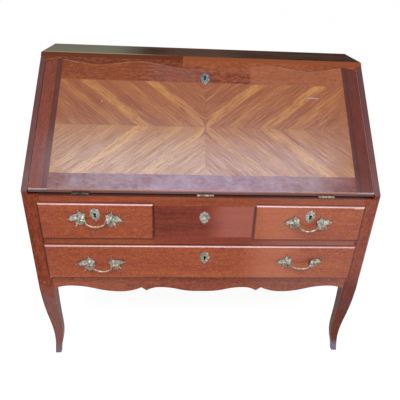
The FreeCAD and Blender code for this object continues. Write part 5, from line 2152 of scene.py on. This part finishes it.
@dataclass(frozen=True)
class SoftBox:
    """One flat lamp."""

    name: str
    at: Place
    aim: Place
    size: Pair
    radiance: float
    colour: Colour

    def hang(self) -> None:
        """Make the lamp."""
        data = bpy.data.lights.new(self.name, "AREA")
        data.shape = "RECTANGLE"
        data.size, data.size_y = self.size
        data.energy = self.radiance * math.pi * self.size[0] * self.size[1]
        data.color = self.colour
        lamp = bpy.data.objects.new(self.name, data)
        lamp.location = self.at
        lamp.rotation_euler = (Vector(self.aim) - Vector(self.at)).to_track_quat("-Z", "Y").to_euler()
        bpy.context.scene.collection.objects.link(lamp)


@dataclass(frozen=True)
class Studio:
    """Floor, light and camera."""

    lamps: tuple[SoftBox, ...] = (
        SoftBox(
            "overhead_sky", at=(0.04, -1.1, 2.7), aim=(0.04, -0.9, 0.0), size=(2.24, 0.85),
            radiance=5.8, colour=(0.6, 0.78, 1.0)),
        SoftBox(
            "front_strip", at=(0.1, -2.0, 2.5), aim=(0.0, -0.5, 0.4), size=(3.4, 0.6),
            radiance=7.4, colour=(1.0, 0.96, 0.94)))
    fill: float = 0.32
    floor_half: float = 30.0
    floor: PaleFloor = PaleFloor()
    eye: Place = (-0.063492, -1.352668, 1.259044)
    look_down: float = 0.494621162
    look_right: float = 0.0722260249
    roll: float = 0.0479717226
    lens_share: float = 421.311 / 400
    shift: Pair = (-0.0271, -0.0080)
    sensor: float = 36.0
    clip: Window = (0.01, 100.0)

    def light(self) -> None:
        """Make the lamps and the white surroundings."""
        for lamp in self.lamps:
            lamp.hang()
        world = bpy.data.worlds.new("white_room")
        bpy.context.scene.world = world
        world.use_nodes = True
        graph = Graph(world.node_tree)
        strength = graph.background_rays() * (1.0 - self.fill) + self.fill
        sky = graph.add("ShaderNodeBackground", {}, {"Color": (1.0, 1.0, 1.0), "Strength": strength})
        graph.add("ShaderNodeOutputWorld", {}, {0: sky})

    def lay_floor(self) -> None:
        """Make the floor."""
        half = self.floor_half
        data = bpy.data.meshes.new("floor")
        corners = [(-half, -half, 0), (half, -half, 0), (half, half, 0), (-half, half, 0)]
        data.from_pydata(corners, [], [(0, 1, 2, 3)])
        data.materials.append(self.floor.material())
        floor = bpy.data.objects.new("floor", data)
        bpy.context.scene.collection.objects.link(floor)

    def set_camera(self) -> None:
        """Place the camera at the photograph's viewpoint."""
        down, side = self.look_down, self.look_right
        flat = math.cos(down)
        ahead = Vector((math.sin(side) * flat, math.cos(side) * flat, -math.sin(down)))
        level = Vector((math.cos(side), -math.sin(side), 0.0))
        over = level.cross(ahead)
        right = level * math.cos(self.roll) + over * math.sin(self.roll)
        up = over * math.cos(self.roll) - level * math.sin(self.roll)
        data = bpy.data.cameras.new("camera")
        data.sensor_width = self.sensor
        data.lens = self.sensor * self.lens_share
        data.shift_x, data.shift_y = self.shift
        data.clip_start, data.clip_end = self.clip
        camera = bpy.data.objects.new("camera", data)
        turn = Matrix((right, up, -ahead)).transposed().to_4x4()
        camera.matrix_world = Matrix.Translation(self.eye) @ turn
        bpy.context.scene.collection.objects.link(camera)
        bpy.context.scene.camera = camera

    def build(self) -> None:
        """Make the whole studio."""
        bpy.context.scene.view_settings.view_transform = "Standard"
        self.light()
        self.lay_floor()
        self.set_camera()


def all_drawers() -> list[Drawer]:
    """List the three drawers with their handles.

    Returns:
        The drawers.
    """
    left = Handle(
        "left_drawer", -326 * MM, 588 * MM, LeafPose(1, 9.4, 3.2, 1.0), LeafPose(0, 7.5, -1.2, 1.0),
        Bail(drop=21, corner=12))
    right = Handle(
        "right_drawer", 322 * MM, 580 * MM, LeafPose(3, 5.6, 3.2, 0.9), LeafPose(17, 6.1, -0.2, 0.93),
        Bail(drop=22.5, corner=12, lean=-5))
    long_left = Handle(
        "long_drawer_left", -318 * MM, 421 * MM, LeafPose(7, 4.9, 0.8, 1.04),
        LeafPose(25, -0.2, 1.2, 0.9), Bail(drop=21))
    long_right = Handle(
        "long_drawer_right", 317 * MM, 428 * MM, LeafPose(0, 6.5, 5.4, 0.9),
        LeafPose(13, 7.2, 4.4, 0.82, 17), Bail(drop=15, bend=4, corner=6, lean=-4))
    return [
        Drawer("left", -328 * MM, 600 * MM, ((left, "left_drawer_bail"),), -5),
        Drawer("right", 325 * MM, 600 * MM, ((right, "right_drawer_bail"),), 7),
        Drawer("long", 5 * MM, 444.5 * MM, (
            (long_left, "long_drawer_left_bail"), (long_right, "long_drawer_right_bail"))),
    ]


def main() -> None:
    """Build the studio and every sub-assembly in order."""
    logging.basicConfig(level=logging.INFO, format="%(message)s")
    Studio().build()
    for part in (Case(), Lid(), *all_drawers()):
        part.dress()
        part.build()


if __name__ == "__main__":
    main()
